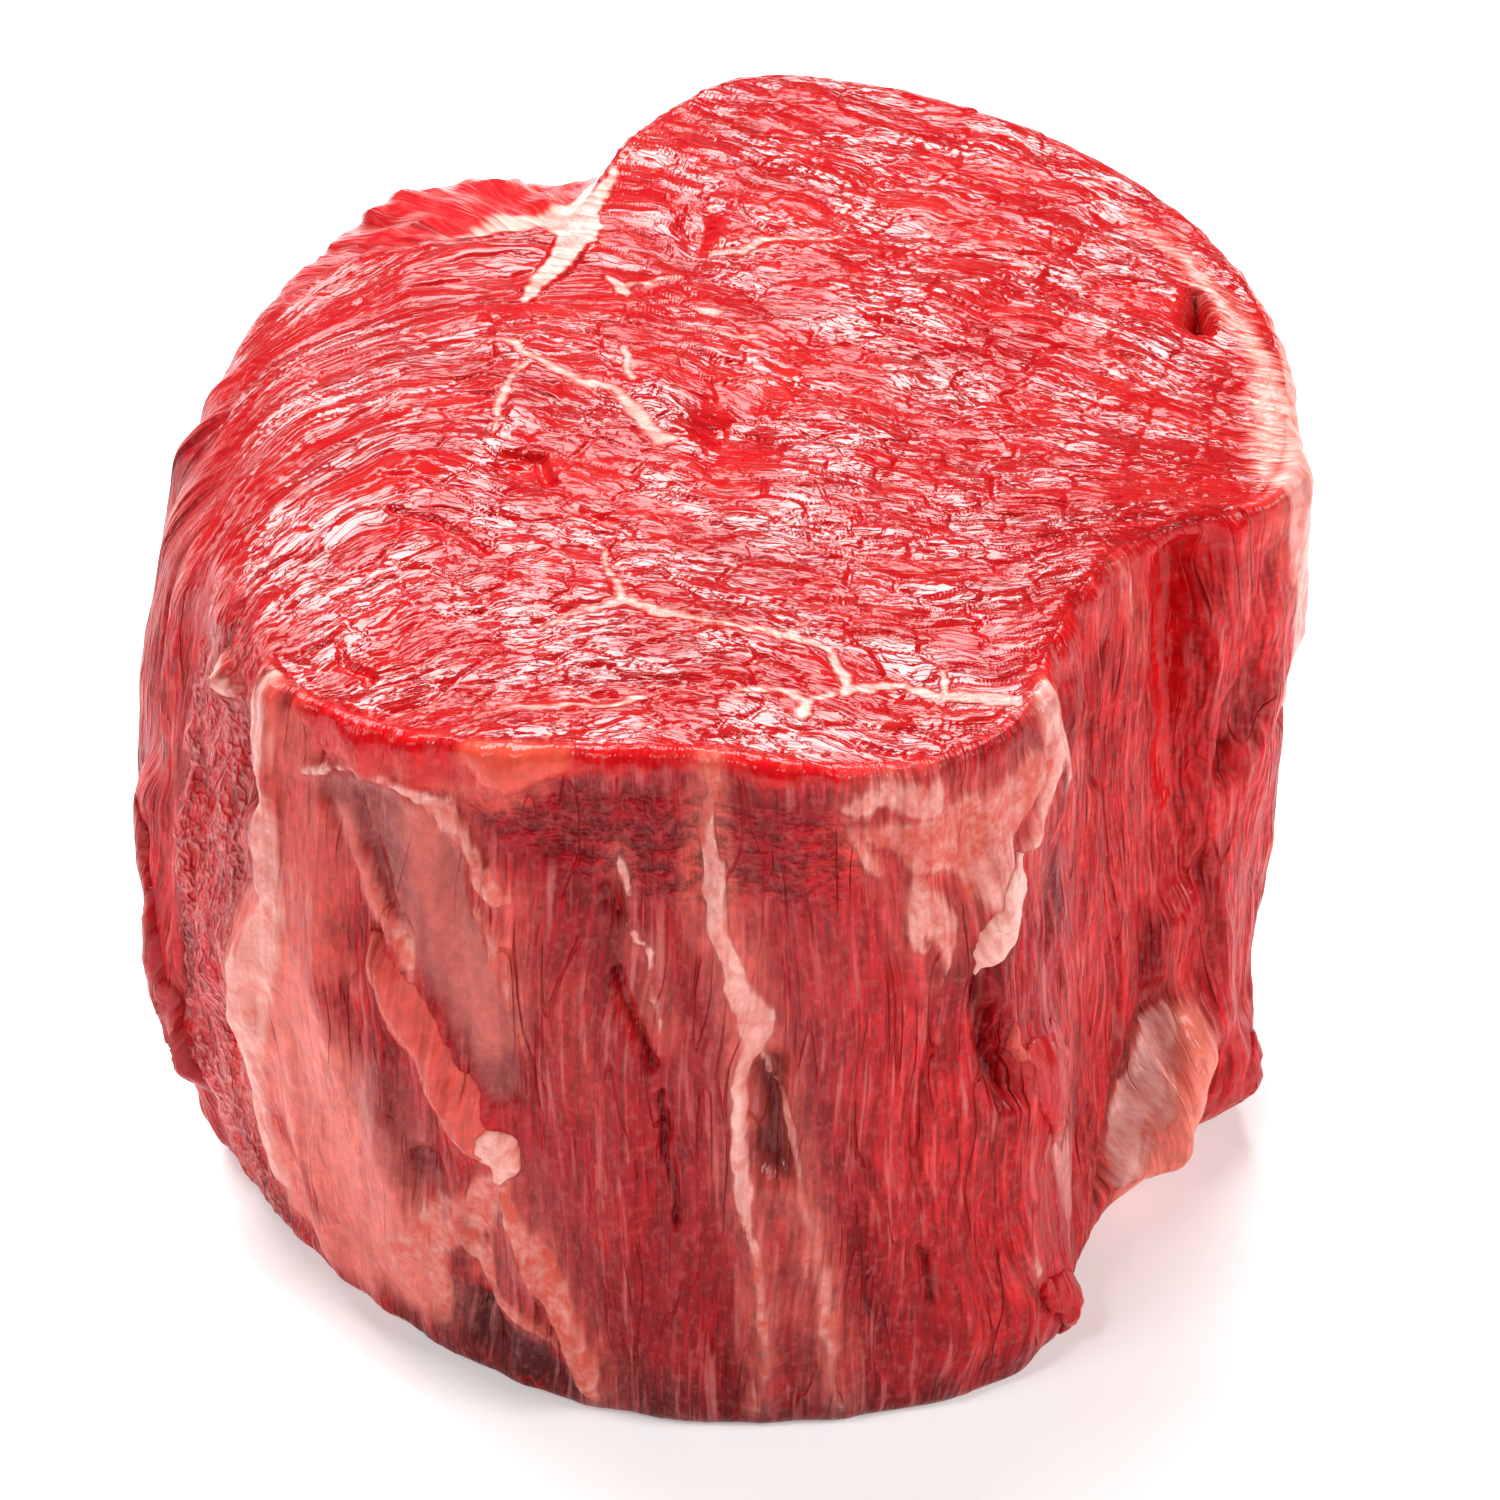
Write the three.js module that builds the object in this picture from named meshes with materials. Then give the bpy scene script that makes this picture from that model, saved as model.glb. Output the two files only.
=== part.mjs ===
// A thick raw filet mignon standing on one cut face, with the other cut face up.
// Millimetres and degrees. +Z is up, +X is to the right of the front, +Y goes to the back.
// The origin is the middle of the foot. Angles start at +X and turn towards +Y, so the front is at 270.
import * as THREE from 'three';

// Driving dimensions of the whole cut
const faceHeight = 60.3;      // height of the upper cut face at its middle
const faceTilt = 0.045;       // rise of the upper cut face for each millimetre towards the back
const faceCrown = 0.9;        // how much its middle stands above its edge
const leftFall = 1.2;         // how far it sinks towards the rounded left shoulder
const footRound = 2.2;        // radius between the wall and the foot
const outlineShift = [0.19, 0.02]; // brings the middle of the outer box over the origin

// Outline of the upper cut face: angle, radius. The notch at 118 parts the eye from the side muscle.
const faceOutline = [
  [0, 41.8], [30, 43.0], [60, 43.0], [86, 42.8], [96, 37.6], [104, 32.0], [111, 27.4], [118, 25.4],
  [126, 26.4], [135, 29.2], [146, 33.6], [166, 36.5], [194, 37.4], [210, 38.0], [224, 40.2], [238, 39.1],
  [255, 37.0], [270, 36.2], [280, 38.2], [290, 39.8], [300, 39.2], [308, 36.4], [317, 33.8], [325, 32.8],
  [333, 33.4], [340, 36.8], [347, 40.4],
];

// Outline of the foot: angle, radius. The front right corner is cut back at 325.
const footOutline = [
  [0, 40.6], [40, 40.4], [90, 40.2], [120, 38.8], [150, 40.0], [180, 40.8], [212, 39.4], [233, 39.8],
  [258, 42.0], [280, 43.2], [300, 44.0], [308, 41.8], [316, 38.4], [325, 36.6], [333, 37.0], [340, 38.8],
  [348, 40.6],
];

// Swellings of the wall at mid height, as angle, half width in degrees and height in millimetres
const bellyEverywhere = 0.7;
const bellies = [
  { name: 'left side', angle: 190, spread: 42, proud: 2.9 },
  { name: 'right side', angle: 0, spread: 30, proud: 0.4 },
  { name: 'back', angle: 90, spread: 60, proud: 0.6 },
  { name: 'cut back corner', angle: 325, spread: 22, proud: -1.2 },
];

// The edge between cut face and wall is sharp all round, and a wide shoulder on the left
const edgeRound = 1.5;
const shoulder = { angle: 182, spread: 24, extra: 8.5 };

// The side muscle fills the notch below the cut face, as a terrace
const sideMuscle = { angle: 126, spread: 25, radius: 41.4, top: 61.5, full: 56 };

// Clefts run down the wall between two muscles, from one place to another given as angle and height
const clefts = [
  { name: 'right cleft', from: [337.5, 62], to: [338, 27], half: 1.9, deep: 2.6 },
  { name: 'narrow cleft', from: [319.5, 60], to: [322, 44], half: 0.9, deep: 0.9 },
  { name: 'corner crevice', from: [297.5, 41], to: [299.5, 29], half: 1.2, deep: 2.6 },
  { name: 'recess behind the fat flap', from: [337, 19], to: [325, 5], half: 1.9, deep: 3.6 },
  { name: 'left crevice', from: [223, 60], to: [222, 48], half: 1.3, deep: 1.5 },
  { name: 'hollow between the front seams', from: [276, 34.5], to: [276, 26], half: 1.3, deep: 1.3 },
  { name: 'front tear', from: [261, 42], to: [264, 34], half: 1.0, deep: 1.3 },
];

// Ridges, lumps and flaps stand out of the wall: a middle line, its half width and how far it stands out
const ridges = [
  { name: 'fat flap', from: [337.5, 13], to: [330, 4.5], half: 3.4, proud: 4.6 },
  { name: 'lower right lobe', from: [345, 8], to: [345, 3], half: 3.0, proud: 2.4 },
  { name: 'corner lobe', from: [305, 29], to: [306, 24], half: 2.6, proud: 1.4 },
  { name: 'front foot lump', from: [298, 9], to: [305, 4], half: 4.2, proud: 1.0 },
  { name: 'right fat edge', from: [350, 58], to: [353, 44], half: 3.4, proud: 1.5 },
  { name: 'left corner fat', from: [223.5, 56], to: [221, 42], half: 1.6, proud: 1.5 },
  { name: 'left nodule', from: [214, 54], to: [214, 53], half: 1.3, proud: 1.0 },
  { name: 'left lump', from: [215, 32], to: [214, 27], half: 3.6, proud: 1.5 },
  { name: 'left hanging strip', from: [196, 34], to: [205, 13], half: 2.2, proud: 1.4 },
  { name: 'front flap', from: [237, 38], to: [247, 25], half: 1.6, proud: 1.1 },
  { name: 'fat tongue', from: [253, 14.5], to: [259, 4], half: 1.3, proud: 0.9 },
  { name: 'front seam', from: [270, 57], to: [275, 4], half: 1.4, proud: 0.5 },
  { name: 'right front seam', from: [275, 35], to: [282, 4], half: 1.2, proud: 0.5 },
  { name: 'front fat patch', from: [296, 47], to: [297, 42], half: 2.4, proud: 1.0 },
  { name: 'front corner fat', from: [306, 58], to: [308, 49], half: 1.6, proud: 0.8 },
];

// Hollows of the upper cut face: middle, half sizes along X and Y, and depth
const faceHollows = [
  { name: 'centre hollow', at: [1.6, -3.2], half: [2.6, 4.6], deep: 1.5 },
  { name: 'deep hole', at: [35.4, 11.4], half: [1.5, 2.6], deep: 3.0 },
  { name: 'hooked pit', at: [-13.0, -7.4], half: [2.0, 1.7], deep: 1.2 },
  { name: 'long tear', at: [-18.6, -13.6], half: [4.2, 1.3], deep: 0.8 },
  { name: 'crease', at: [-1.2, 20.6], half: [1.4, 4.0], deep: 0.8 },
];

// Fibre bundles: waves round the wall and across the cut face, as wavelength and height
const bundleWaves = [
  { length: 9.3, high: 0.28, drift: 0.16, start: 0.7 },
  { length: 5.9, high: 0.26, drift: -0.11, start: 2.9 },
  { length: 4.3, high: 0.18, drift: 0.07, start: 5.1 },
];

// The net of the mesh
const frontSweep = [208, 352];    // the angles with the fine columns
const frontStep = 2.25;
const backStep = 4;
const wallRows = 27;
const faceRings = 12;
const footRings = 3;

const radians = Math.PI / 180;

function smoothStep(low, high, value) {
  const part = Math.min(Math.max((value - low) / (high - low), 0), 1);
  return part * part * (3 - 2 * part);
}

// Shortest turn from one angle to another, in degrees
function turn(from, to) {
  return ((to - from + 540) % 360 + 360) % 360 - 180;
}

function bell(distance) {
  return Math.exp(-distance * distance);
}

// A smooth closed curve through the stations of an outline
function outlineRadius(outline, angle) {
  const count = outline.length;
  const at = ((angle % 360) + 360) % 360;
  const station = (i) => {
    const lap = Math.floor(i / count);
    const [a, r] = outline[((i % count) + count) % count];
    return [a + 360 * lap, r];
  };
  const slope = (i) => {
    const [a0, r0] = station(i - 1);
    const [a1, r1] = station(i + 1);
    return (r1 - r0) / (a1 - a0);
  };
  let i = outline.findLastIndex(([a]) => a <= at);
  if (i < 0) i = -1;
  const [a0, r0] = station(i);
  const [a1, r1] = station(i + 1);
  const gap = a1 - a0;
  const t = (at - a0) / gap;
  return r0 * (2 * t ** 3 - 3 * t ** 2 + 1) + slope(i) * gap * (t ** 3 - 2 * t ** 2 + t)
    + r1 * (3 * t ** 2 - 2 * t ** 3) + slope(i + 1) * gap * (t ** 3 - t ** 2);
}

function faceLevel(x, y) {
  const out = (x * x + y * y) / (40 * 40);
  return faceHeight + faceTilt * y + faceCrown * (1 - out) - leftFall * smoothStep(0, 40, -x);
}

function edgeRadius(angle) {
  return edgeRound + shoulder.extra * bell(turn(shoulder.angle, angle) / shoulder.spread);
}

// Distance in millimetres from a place on the wall to a short line on it, both as angle and height
function wallDistance(angle, z, line, radius) {
  const [fromAngle, fromZ] = line.from;
  const [toAngle, toZ] = line.to;
  const across = turn(fromAngle, angle) * radians * radius;
  const up = z - fromZ;
  const alongX = turn(fromAngle, toAngle) * radians * radius;
  const alongZ = toZ - fromZ;
  const t = (across * alongX + up * alongZ) / (alongX ** 2 + alongZ ** 2);
  const held = Math.min(Math.max(t, 0), 1);
  return Math.hypot(across - alongX * held, up - alongZ * held);
}

function wallRelief(angle, z, radius) {
  let relief = 0;
  for (const cleft of clefts) {
    relief -= cleft.deep * bell(wallDistance(angle, z, cleft, radius) / cleft.half);
  }
  for (const ridge of ridges) {
    relief += ridge.proud * bell(wallDistance(angle, z, ridge, radius) / ridge.half);
  }
  const round = angle * radians * radius;
  for (const wave of bundleWaves) {
    const laps = Math.round(2 * Math.PI * radius / wave.length);
    const phase = laps * round / radius + wave.drift * z + wave.start;
    relief += wave.high * Math.sin(phase);
  }
  return relief;
}

// The wall's distance from the axis at an angle and a height between foot and cut face
function wallRadius(angle, z) {
  const faceRadius = outlineRadius(faceOutline, angle);
  const footRadius = outlineRadius(footOutline, angle);
  const round = edgeRadius(angle);
  const inner = faceRadius - round;
  const level = faceLevel(inner * Math.cos(angle * radians), inner * Math.sin(angle * radians));
  const part = Math.min(Math.max(z / level, 0), 1);
  let radius = footRadius + (faceRadius - footRadius) * part ** 1.15;

  const terrace = smoothStep(sideMuscle.top, sideMuscle.full, z)
    * bell(turn(sideMuscle.angle, angle) / sideMuscle.spread);
  radius += (Math.max(sideMuscle.radius, radius) - radius) * terrace;

  let swell = bellyEverywhere;
  for (const belly of bellies) swell += belly.proud * bell(turn(belly.angle, angle) / belly.spread);
  radius += swell * Math.sin(Math.PI * part ** 0.9);

  const nearEdge = Math.min(Math.max((z - (level - round)) / round, 0), 1);
  const nearFoot = Math.min(Math.max((footRound - z) / footRound, 0), 1);
  radius += wallRelief(angle, z, 40) * (1 - nearEdge ** 2) * (1 - 0.7 * nearFoot);
  radius -= round * (1 - Math.sqrt(1 - nearEdge ** 2));
  radius -= footRound * (1 - Math.sqrt(1 - nearFoot ** 2));
  return { radius, level, inner };
}

function faceRelief(x, y) {
  let relief = 0;
  for (const hollow of faceHollows) {
    const dx = (x - hollow.at[0]) / hollow.half[0];
    const dy = (y - hollow.at[1]) / hollow.half[1];
    relief -= hollow.deep * bell(Math.hypot(dx, dy));
  }
  return relief + 0.16 * Math.sin(0.9 * x + 0.35 * y) * Math.sin(1.1 * y - 0.2 * x + 1);
}

function columnAngles() {
  const angles = [];
  const [first, last] = frontSweep;
  for (let a = first; a < last - 1e-6; a += frontStep) angles.push(a);
  const backSweep = 360 - (last - first);
  const backCount = Math.round(backSweep / backStep);
  for (let i = 0; i < backCount; i += 1) angles.push(last + backSweep * i / backCount);
  return angles;
}

// Rings from the middle of the foot, up the wall, to the middle of the cut face
function filletRings(angles) {
  const rings = [];
  for (let i = 1; i <= footRings; i += 1) {
    rings.push(angles.map((angle) => {
      const { radius } = wallRadius(angle, 0);
      return [angle, radius * i / footRings, 0];
    }));
  }
  for (let i = 1; i <= wallRows; i += 1) {
    const rise = i / wallRows;
    // rows crowd towards the foot and the upper edge, where the wall rounds over
    const share = rise - 0.07 * Math.sin(2 * Math.PI * rise);
    rings.push(angles.map((angle) => {
      const z = wallRadius(angle, 0).level * share;
      return [angle, wallRadius(angle, z).radius, z];
    }));
  }
  for (let i = 1; i < faceRings; i += 1) {
    const share = 1 - i / faceRings;
    rings.push(angles.map((angle) => {
      const radius = wallRadius(angle, 0).inner * share;
      const x = radius * Math.cos(angle * radians);
      const y = radius * Math.sin(angle * radians);
      return [angle, radius, faceLevel(x, y) + faceRelief(x, y)];
    }));
  }
  return rings;
}

function filletGeometry() {
  const angles = columnAngles();
  const rings = filletRings(angles);
  const columns = angles.length;
  const positions = [0, 0, 0];
  for (const ring of rings) {
    for (const [angle, radius, z] of ring) {
      positions.push(radius * Math.cos(angle * radians), radius * Math.sin(angle * radians), z);
    }
  }
  positions.push(0, 0, faceLevel(0, 0) + faceRelief(0, 0));
  const lastPoint = positions.length / 3 - 1;

  const faces = [];
  const point = (ring, column) => 1 + ring * columns + (column % columns);
  for (let column = 0; column < columns; column += 1) {
    faces.push(0, point(0, column + 1), point(0, column));
    for (let ring = 0; ring < rings.length - 1; ring += 1) {
      const a = point(ring, column);
      const b = point(ring, column + 1);
      const c = point(ring + 1, column + 1);
      const d = point(ring + 1, column);
      faces.push(a, b, c, a, c, d);
    }
    faces.push(point(rings.length - 1, column), point(rings.length - 1, column + 1), lastPoint);
  }

  const geometry = new THREE.BufferGeometry();
  geometry.setAttribute('position', new THREE.Float32BufferAttribute(positions, 3));
  geometry.setIndex(faces);
  geometry.translate(outlineShift[0], outlineShift[1], 0);
  geometry.computeVertexNormals();
  return geometry;
}

function fillet() {
  const rawBeef = new THREE.MeshStandardMaterial({ color: 0xc8353b, roughness: 0.35, metalness: 0 });
  const mesh = new THREE.Mesh(filletGeometry(), rawBeef);
  mesh.name = 'fillet';
  return mesh;
}

const group = new THREE.Group();
group.add(fillet());

export default group;
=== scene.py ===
# A raw filet mignon on a white table, seen from above its front edge.
import functools
import math

import bpy
import numpy as np
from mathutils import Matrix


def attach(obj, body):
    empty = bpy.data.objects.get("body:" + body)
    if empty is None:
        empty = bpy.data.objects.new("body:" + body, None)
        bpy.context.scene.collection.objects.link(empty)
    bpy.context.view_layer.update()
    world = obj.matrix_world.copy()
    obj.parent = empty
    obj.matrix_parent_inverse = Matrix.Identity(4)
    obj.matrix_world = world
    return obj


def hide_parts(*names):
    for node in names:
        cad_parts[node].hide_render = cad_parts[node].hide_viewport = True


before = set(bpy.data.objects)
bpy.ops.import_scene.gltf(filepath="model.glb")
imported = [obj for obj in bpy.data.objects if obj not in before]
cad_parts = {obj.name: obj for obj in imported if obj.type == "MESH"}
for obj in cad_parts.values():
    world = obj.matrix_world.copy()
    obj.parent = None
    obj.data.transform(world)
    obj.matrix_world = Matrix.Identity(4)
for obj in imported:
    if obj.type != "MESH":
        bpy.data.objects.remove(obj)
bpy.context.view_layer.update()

mm = 0.001
bodyName = "root"
nodeName = "fillet"

# The camera stands in front of the cut and looks down on it

cameraSetup = {
    "place": (2.98, -264.57, 250.75),  # mm, from the middle of the foot
    "lookDown": 40.0,                  # degrees below the horizon
    "lens": 110.0,
}


def addCamera(setup):
    data = bpy.data.cameras.new("camera")
    data.lens = setup["lens"]
    data.sensor_width = 36.0
    data.clip_start = 0.01
    camera = bpy.data.objects.new("camera", data)
    camera.location = [v * mm for v in setup["place"]]
    camera.rotation_euler = (math.radians(90.0 - setup["lookDown"]), 0.0, 0.0)
    bpy.context.scene.collection.objects.link(camera)
    bpy.context.scene.camera = camera


addCamera(cameraSetup)
print("camera stands")


# Small helpers for shapes, all in millimetres

def clamp01(value):
    return np.clip(value, 0.0, 1.0)


def smoothStep(low, high, value):
    part = clamp01((value - low) / (high - low))
    return part * part * (3.0 - 2.0 * part)


def turn(start, end):
    return (end - start + 180.0) % 360.0 - 180.0


def bell(distance):
    return np.exp(-distance * distance)


# Smooth noise between about -1 and 1, one unit from bump to bump
def latticeNoise(x, y, z, seed):
    rng = np.random.default_rng(seed)
    order = rng.permutation(256).astype(np.int32)
    order = np.concatenate([order, order])
    slopes = rng.normal(size=(256, 3)).astype(np.float32)
    slopes /= np.linalg.norm(slopes, axis=1)[:, None]
    cell, part = [], []
    for axis in np.broadcast_arrays(x, y, z):
        low = np.floor(axis)
        cell.append(low.astype(np.int64) & 255)
        part.append((axis - low).astype(np.float32))
    ease = [p * p * p * (p * (p * 6.0 - 15.0) + 10.0) for p in part]
    total = 0.0
    for dx in (0, 1):
        hashX = order[(cell[0] + dx) & 255]
        weightX = ease[0] if dx else 1.0 - ease[0]
        for dy in (0, 1):
            hashY = order[(hashX + cell[1] + dy) & 255]
            weightY = weightX * (ease[1] if dy else 1.0 - ease[1])
            for dz in (0, 1):
                slope = slopes[order[(hashY + cell[2] + dz) & 255]]
                weight = weightY * (ease[2] if dz else 1.0 - ease[2])
                total = total + weight * (slope[..., 0] * (part[0] - dx)
                                          + slope[..., 1] * (part[1] - dy)
                                          + slope[..., 2] * (part[2] - dz))
    return total * 1.6


# The cut's own shape. These are the sizes that the solid was built from.

cut = {
    "faceHeight": 60.3, "faceTilt": 0.045, "faceCrown": 0.9, "leftFall": 1.2,
    "faceReach": 40.0,                      # how far out the crown and the fall run
    "footRound": 2.2, "edgeRound": 1.5, "shift": (0.19, 0.02),
    "shoulderAngle": 182.0, "shoulderSpread": 24.0, "shoulderExtra": 8.5,
    "leanPower": 1.15, "bellyPower": 0.9,   # over 1 the wall leans in late, under 1 its belly hangs low
    "bellyEverywhere": 0.7,
    "bellies": [(190.0, 42.0, 2.9), (0.0, 30.0, 0.4), (90.0, 60.0, 0.6), (325.0, 22.0, -1.2)],
    "sideMuscle": {"angle": 126.0, "spread": 25.0, "radius": 41.4, "top": 61.5, "full": 56.0},
    # fibre bundles: length round the wall, height, drift on the way up, and start
    "bundleWaves": [(9.3, 0.28, 0.16, 0.7), (5.9, 0.26, -0.11, 2.9), (4.3, 0.18, 0.07, 5.1)],
    "rimFade": (60.5, 55.5),                # heights over which bundles and clefts begin
}

# Outlines of the two cut faces: angle and radius

faceOutline = [
    (0, 41.8), (30, 43.0), (60, 43.0), (86, 42.8), (96, 37.6), (104, 32.0), (111, 27.4), (118, 25.4),
    (126, 26.4), (135, 29.2), (146, 33.6), (166, 36.5), (194, 37.4), (210, 38.0), (224, 40.2), (238, 39.1),
    (255, 37.0), (270, 36.2), (280, 38.2), (290, 39.8), (300, 39.2), (308, 36.4), (317, 33.8), (325, 32.8),
    (333, 33.4), (340, 36.8), (347, 40.4),
]
footOutline = [
    (0, 40.6), (40, 40.4), (90, 40.2), (120, 38.8), (150, 40.0), (180, 40.8), (212, 39.4), (233, 39.8),
    (258, 42.0), (280, 43.2), (300, 44.0), (308, 41.8), (316, 38.4), (325, 36.6), (333, 37.0), (340, 38.8),
    (348, 40.6),
]


# A curve that leaves start and reaches end with a slope at each, at a share t of the gap between
def smoothCurve(t, gap, start, startSlope, end, endSlope):
    return (start * (2 * t**3 - 3 * t**2 + 1) + startSlope * gap * (t**3 - 2 * t**2 + t)
            + end * (3 * t**2 - 2 * t**3) + endSlope * gap * (t**3 - t**2))


def outlineRadius(outline, angle):
    base = np.array(outline, float)
    laps = np.concatenate([base[:, 0] - 360.0, base[:, 0], base[:, 0] + 360.0])
    radii = np.tile(base[:, 1], 3)
    slopes = np.zeros(len(laps))
    slopes[1:-1] = (radii[2:] - radii[:-2]) / (laps[2:] - laps[:-2])
    at = angle % 360.0
    i = np.searchsorted(laps, at, side="right") - 1
    gap = laps[i + 1] - laps[i]
    return smoothCurve((at - laps[i]) / gap, gap, radii[i], slopes[i], radii[i + 1], slopes[i + 1])


def faceLevel(x, y):
    out = (x * x + y * y) / cut["faceReach"] ** 2
    return (cut["faceHeight"] + cut["faceTilt"] * y + cut["faceCrown"] * (1.0 - out)
            - cut["leftFall"] * smoothStep(0.0, cut["faceReach"], -x))


def edgeRadius(angle):
    spread = turn(cut["shoulderAngle"], angle) / cut["shoulderSpread"]
    return cut["edgeRound"] + cut["shoulderExtra"] * bell(spread)


def plainWall(angle, z, level):
    faceR = outlineRadius(faceOutline, angle)
    footR = outlineRadius(footOutline, angle)
    part = clamp01(z / level)
    radius = footR + (faceR - footR) * part ** cut["leanPower"]
    side = cut["sideMuscle"]
    terrace = smoothStep(side["top"], side["full"], z) * bell(turn(side["angle"], angle) / side["spread"])
    radius = radius + (np.maximum(side["radius"], radius) - radius) * terrace
    swell = cut["bellyEverywhere"]
    for middle, spread, proud in cut["bellies"]:
        swell = swell + proud * bell(turn(middle, angle) / spread)
    return radius + swell * np.sin(np.pi * part ** cut["bellyPower"])


roundRadius = 40.0   # mm, which turns an angle round the wall into a length


def aroundMm(angle):
    return angle * math.pi / 180.0 * roundRadius


# Distance to a strand that runs through places with a half width at each, negative inside it
def strandDistance(px, py, strand):
    best = np.full(px.shape, 1e3)
    for (ax, ay, aw), (bx, by, bw) in zip(strand[:-1], strand[1:]):
        dx, dy = bx - ax, by - ay
        t = clamp01(((px - ax) * dx + (py - ay) * dy) / max(dx * dx + dy * dy, 1e-6))
        away = np.hypot(px - ax - dx * t, py - ay - dy * t) - (aw + (bw - aw) * t)
        best = np.minimum(best, away)
    return best


# The same on the wall, where places are an angle, a height and, but for a bare line, a half width
def wallStrand(angle, z, path):
    middle = path[0][0]
    strand = [(aroundMm(turn(middle, a)), high, half[0] if half else 0.0) for a, high, *half in path]
    return strandDistance(aroundMm(turn(middle, angle)), z, strand)


# Clefts of the wall: half width, depth, how much painted shade darkens them inside, and the way as angle and
# height

clefts = {
    "rightCleft": (1.9, 2.6, 0.1, [(337.5, 62), (337.5, 45), (338, 27)]),
    "narrowCleft": (0.9, 0.9, 0.3, [(319.5, 60), (322, 44)]),
    "cornerCrevice": (1.0, 2.8, 0.7, [(297.5, 41), (296.5, 37), (298, 32), (300, 28.5)]),
    "flapRecess": (1.2, 0.9, 0.0, [(334.6, 18), (323.4, 5.4)]),
    "leftCrevice": (1.1, 1.7, 0.8, [(223, 60), (222, 48)]),
    "seamHollow": (1.3, 1.5, 0.7, [(276, 34.5), (276, 26)]),
    "frontTear": (0.4, 1.2, 0.25, [(261, 41), (262.5, 37), (264, 34)]),
    "frontNick": (0.4, 0.7, 0.4, [(260, 48), (261, 45.5)]),
    "lowerCrack": (0.2, 0.7, 0.7, [(265, 31), (266, 25), (267, 20)]),
    "footCrackA": (0.25, 0.5, 0.5, [(285, 15), (285.4, 11)]),
    "footCrackB": (0.3, 0.6, 0.5, [(290, 17), (291, 12)]),
    "sidePocket": (0.8, 1.2, 0.6, [(343, 37.5), (343, 35.5)]),
}

# Ridges, lumps and flaps: half width, how far they stand out, and the way

ridges = {
    "fatFlap": (3.4, 4.0, [(337.5, 13), (330, 4.5)]),
    "lowerRightLobe": (3.0, 2.4, [(345, 8), (345, 3)]),
    "cornerLobe": (2.6, 1.4, [(305, 29), (306, 24)]),
    "footLump": (4.2, 1.0, [(298, 9), (305, 4)]),
    "rightFatEdge": (3.4, 1.5, [(350, 58), (353, 44)]),
    "leftCornerFat": (2.0, 1.1, [(223.5, 56), (221, 42)]),
    "leftNodule": (1.3, 1.0, [(214, 54), (214, 53)]),
    "leftLump": (3.6, 1.5, [(215, 32), (214, 27)]),
    "leftHangingStrip": (2.2, 1.4, [(196, 34), (205, 13)]),
    "frontFlap": (1.6, 1.1, [(237, 38), (247, 25)]),
    "fatTongue": (1.3, 0.9, [(253, 14.5), (259, 4)]),
    "frontSeam": (1.4, 0.5, [(270, 57), (275, 4)]),
    "rightFrontSeam": (1.2, 0.5, [(275, 35), (282, 4)]),
    "frontFatPatch": (2.4, 1.0, [(296, 47), (297, 42)]),
    "frontCornerFat": (1.6, 0.8, [(306, 58), (308, 49)]),
}

# Colours of the meat itself before any light falls on it, but foot and shadow are painted shade

meatColour = {
    "maroon": "#780a12", "lean": "#a0161c", "leanRight": "#bc1f23", "purple": "#92282a",
    "bright": "#bc131a", "orange": "#d8503c",
    "face": "#a80f13", "facePale": "#b8231f", "faceDeep": "#90080c",
    "pale": "#e89c91", "salmon": "#d8685c", "membrane": "#8e3834", "rim": "#c60c12",
    # foot is painted shade along the wall's foot, shadow is painted shade in clefts and slits
    "flap": "#c8483e", "pocket": "#6a2a28", "foot": "#4a060a", "groove": "#cc050a", "shadow": "#4a0408",
    # partly painted light: the flap's salmon, lightened past its own colour because the flap sits in shade
    "flapPaleLit": "#f4826e",
}

# The wall's colours: which colour, how far its edge feathers in millimetres, how strong it is,
# how smooth its skin is, how far it stands out, and its way as angle, height and half width

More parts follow.
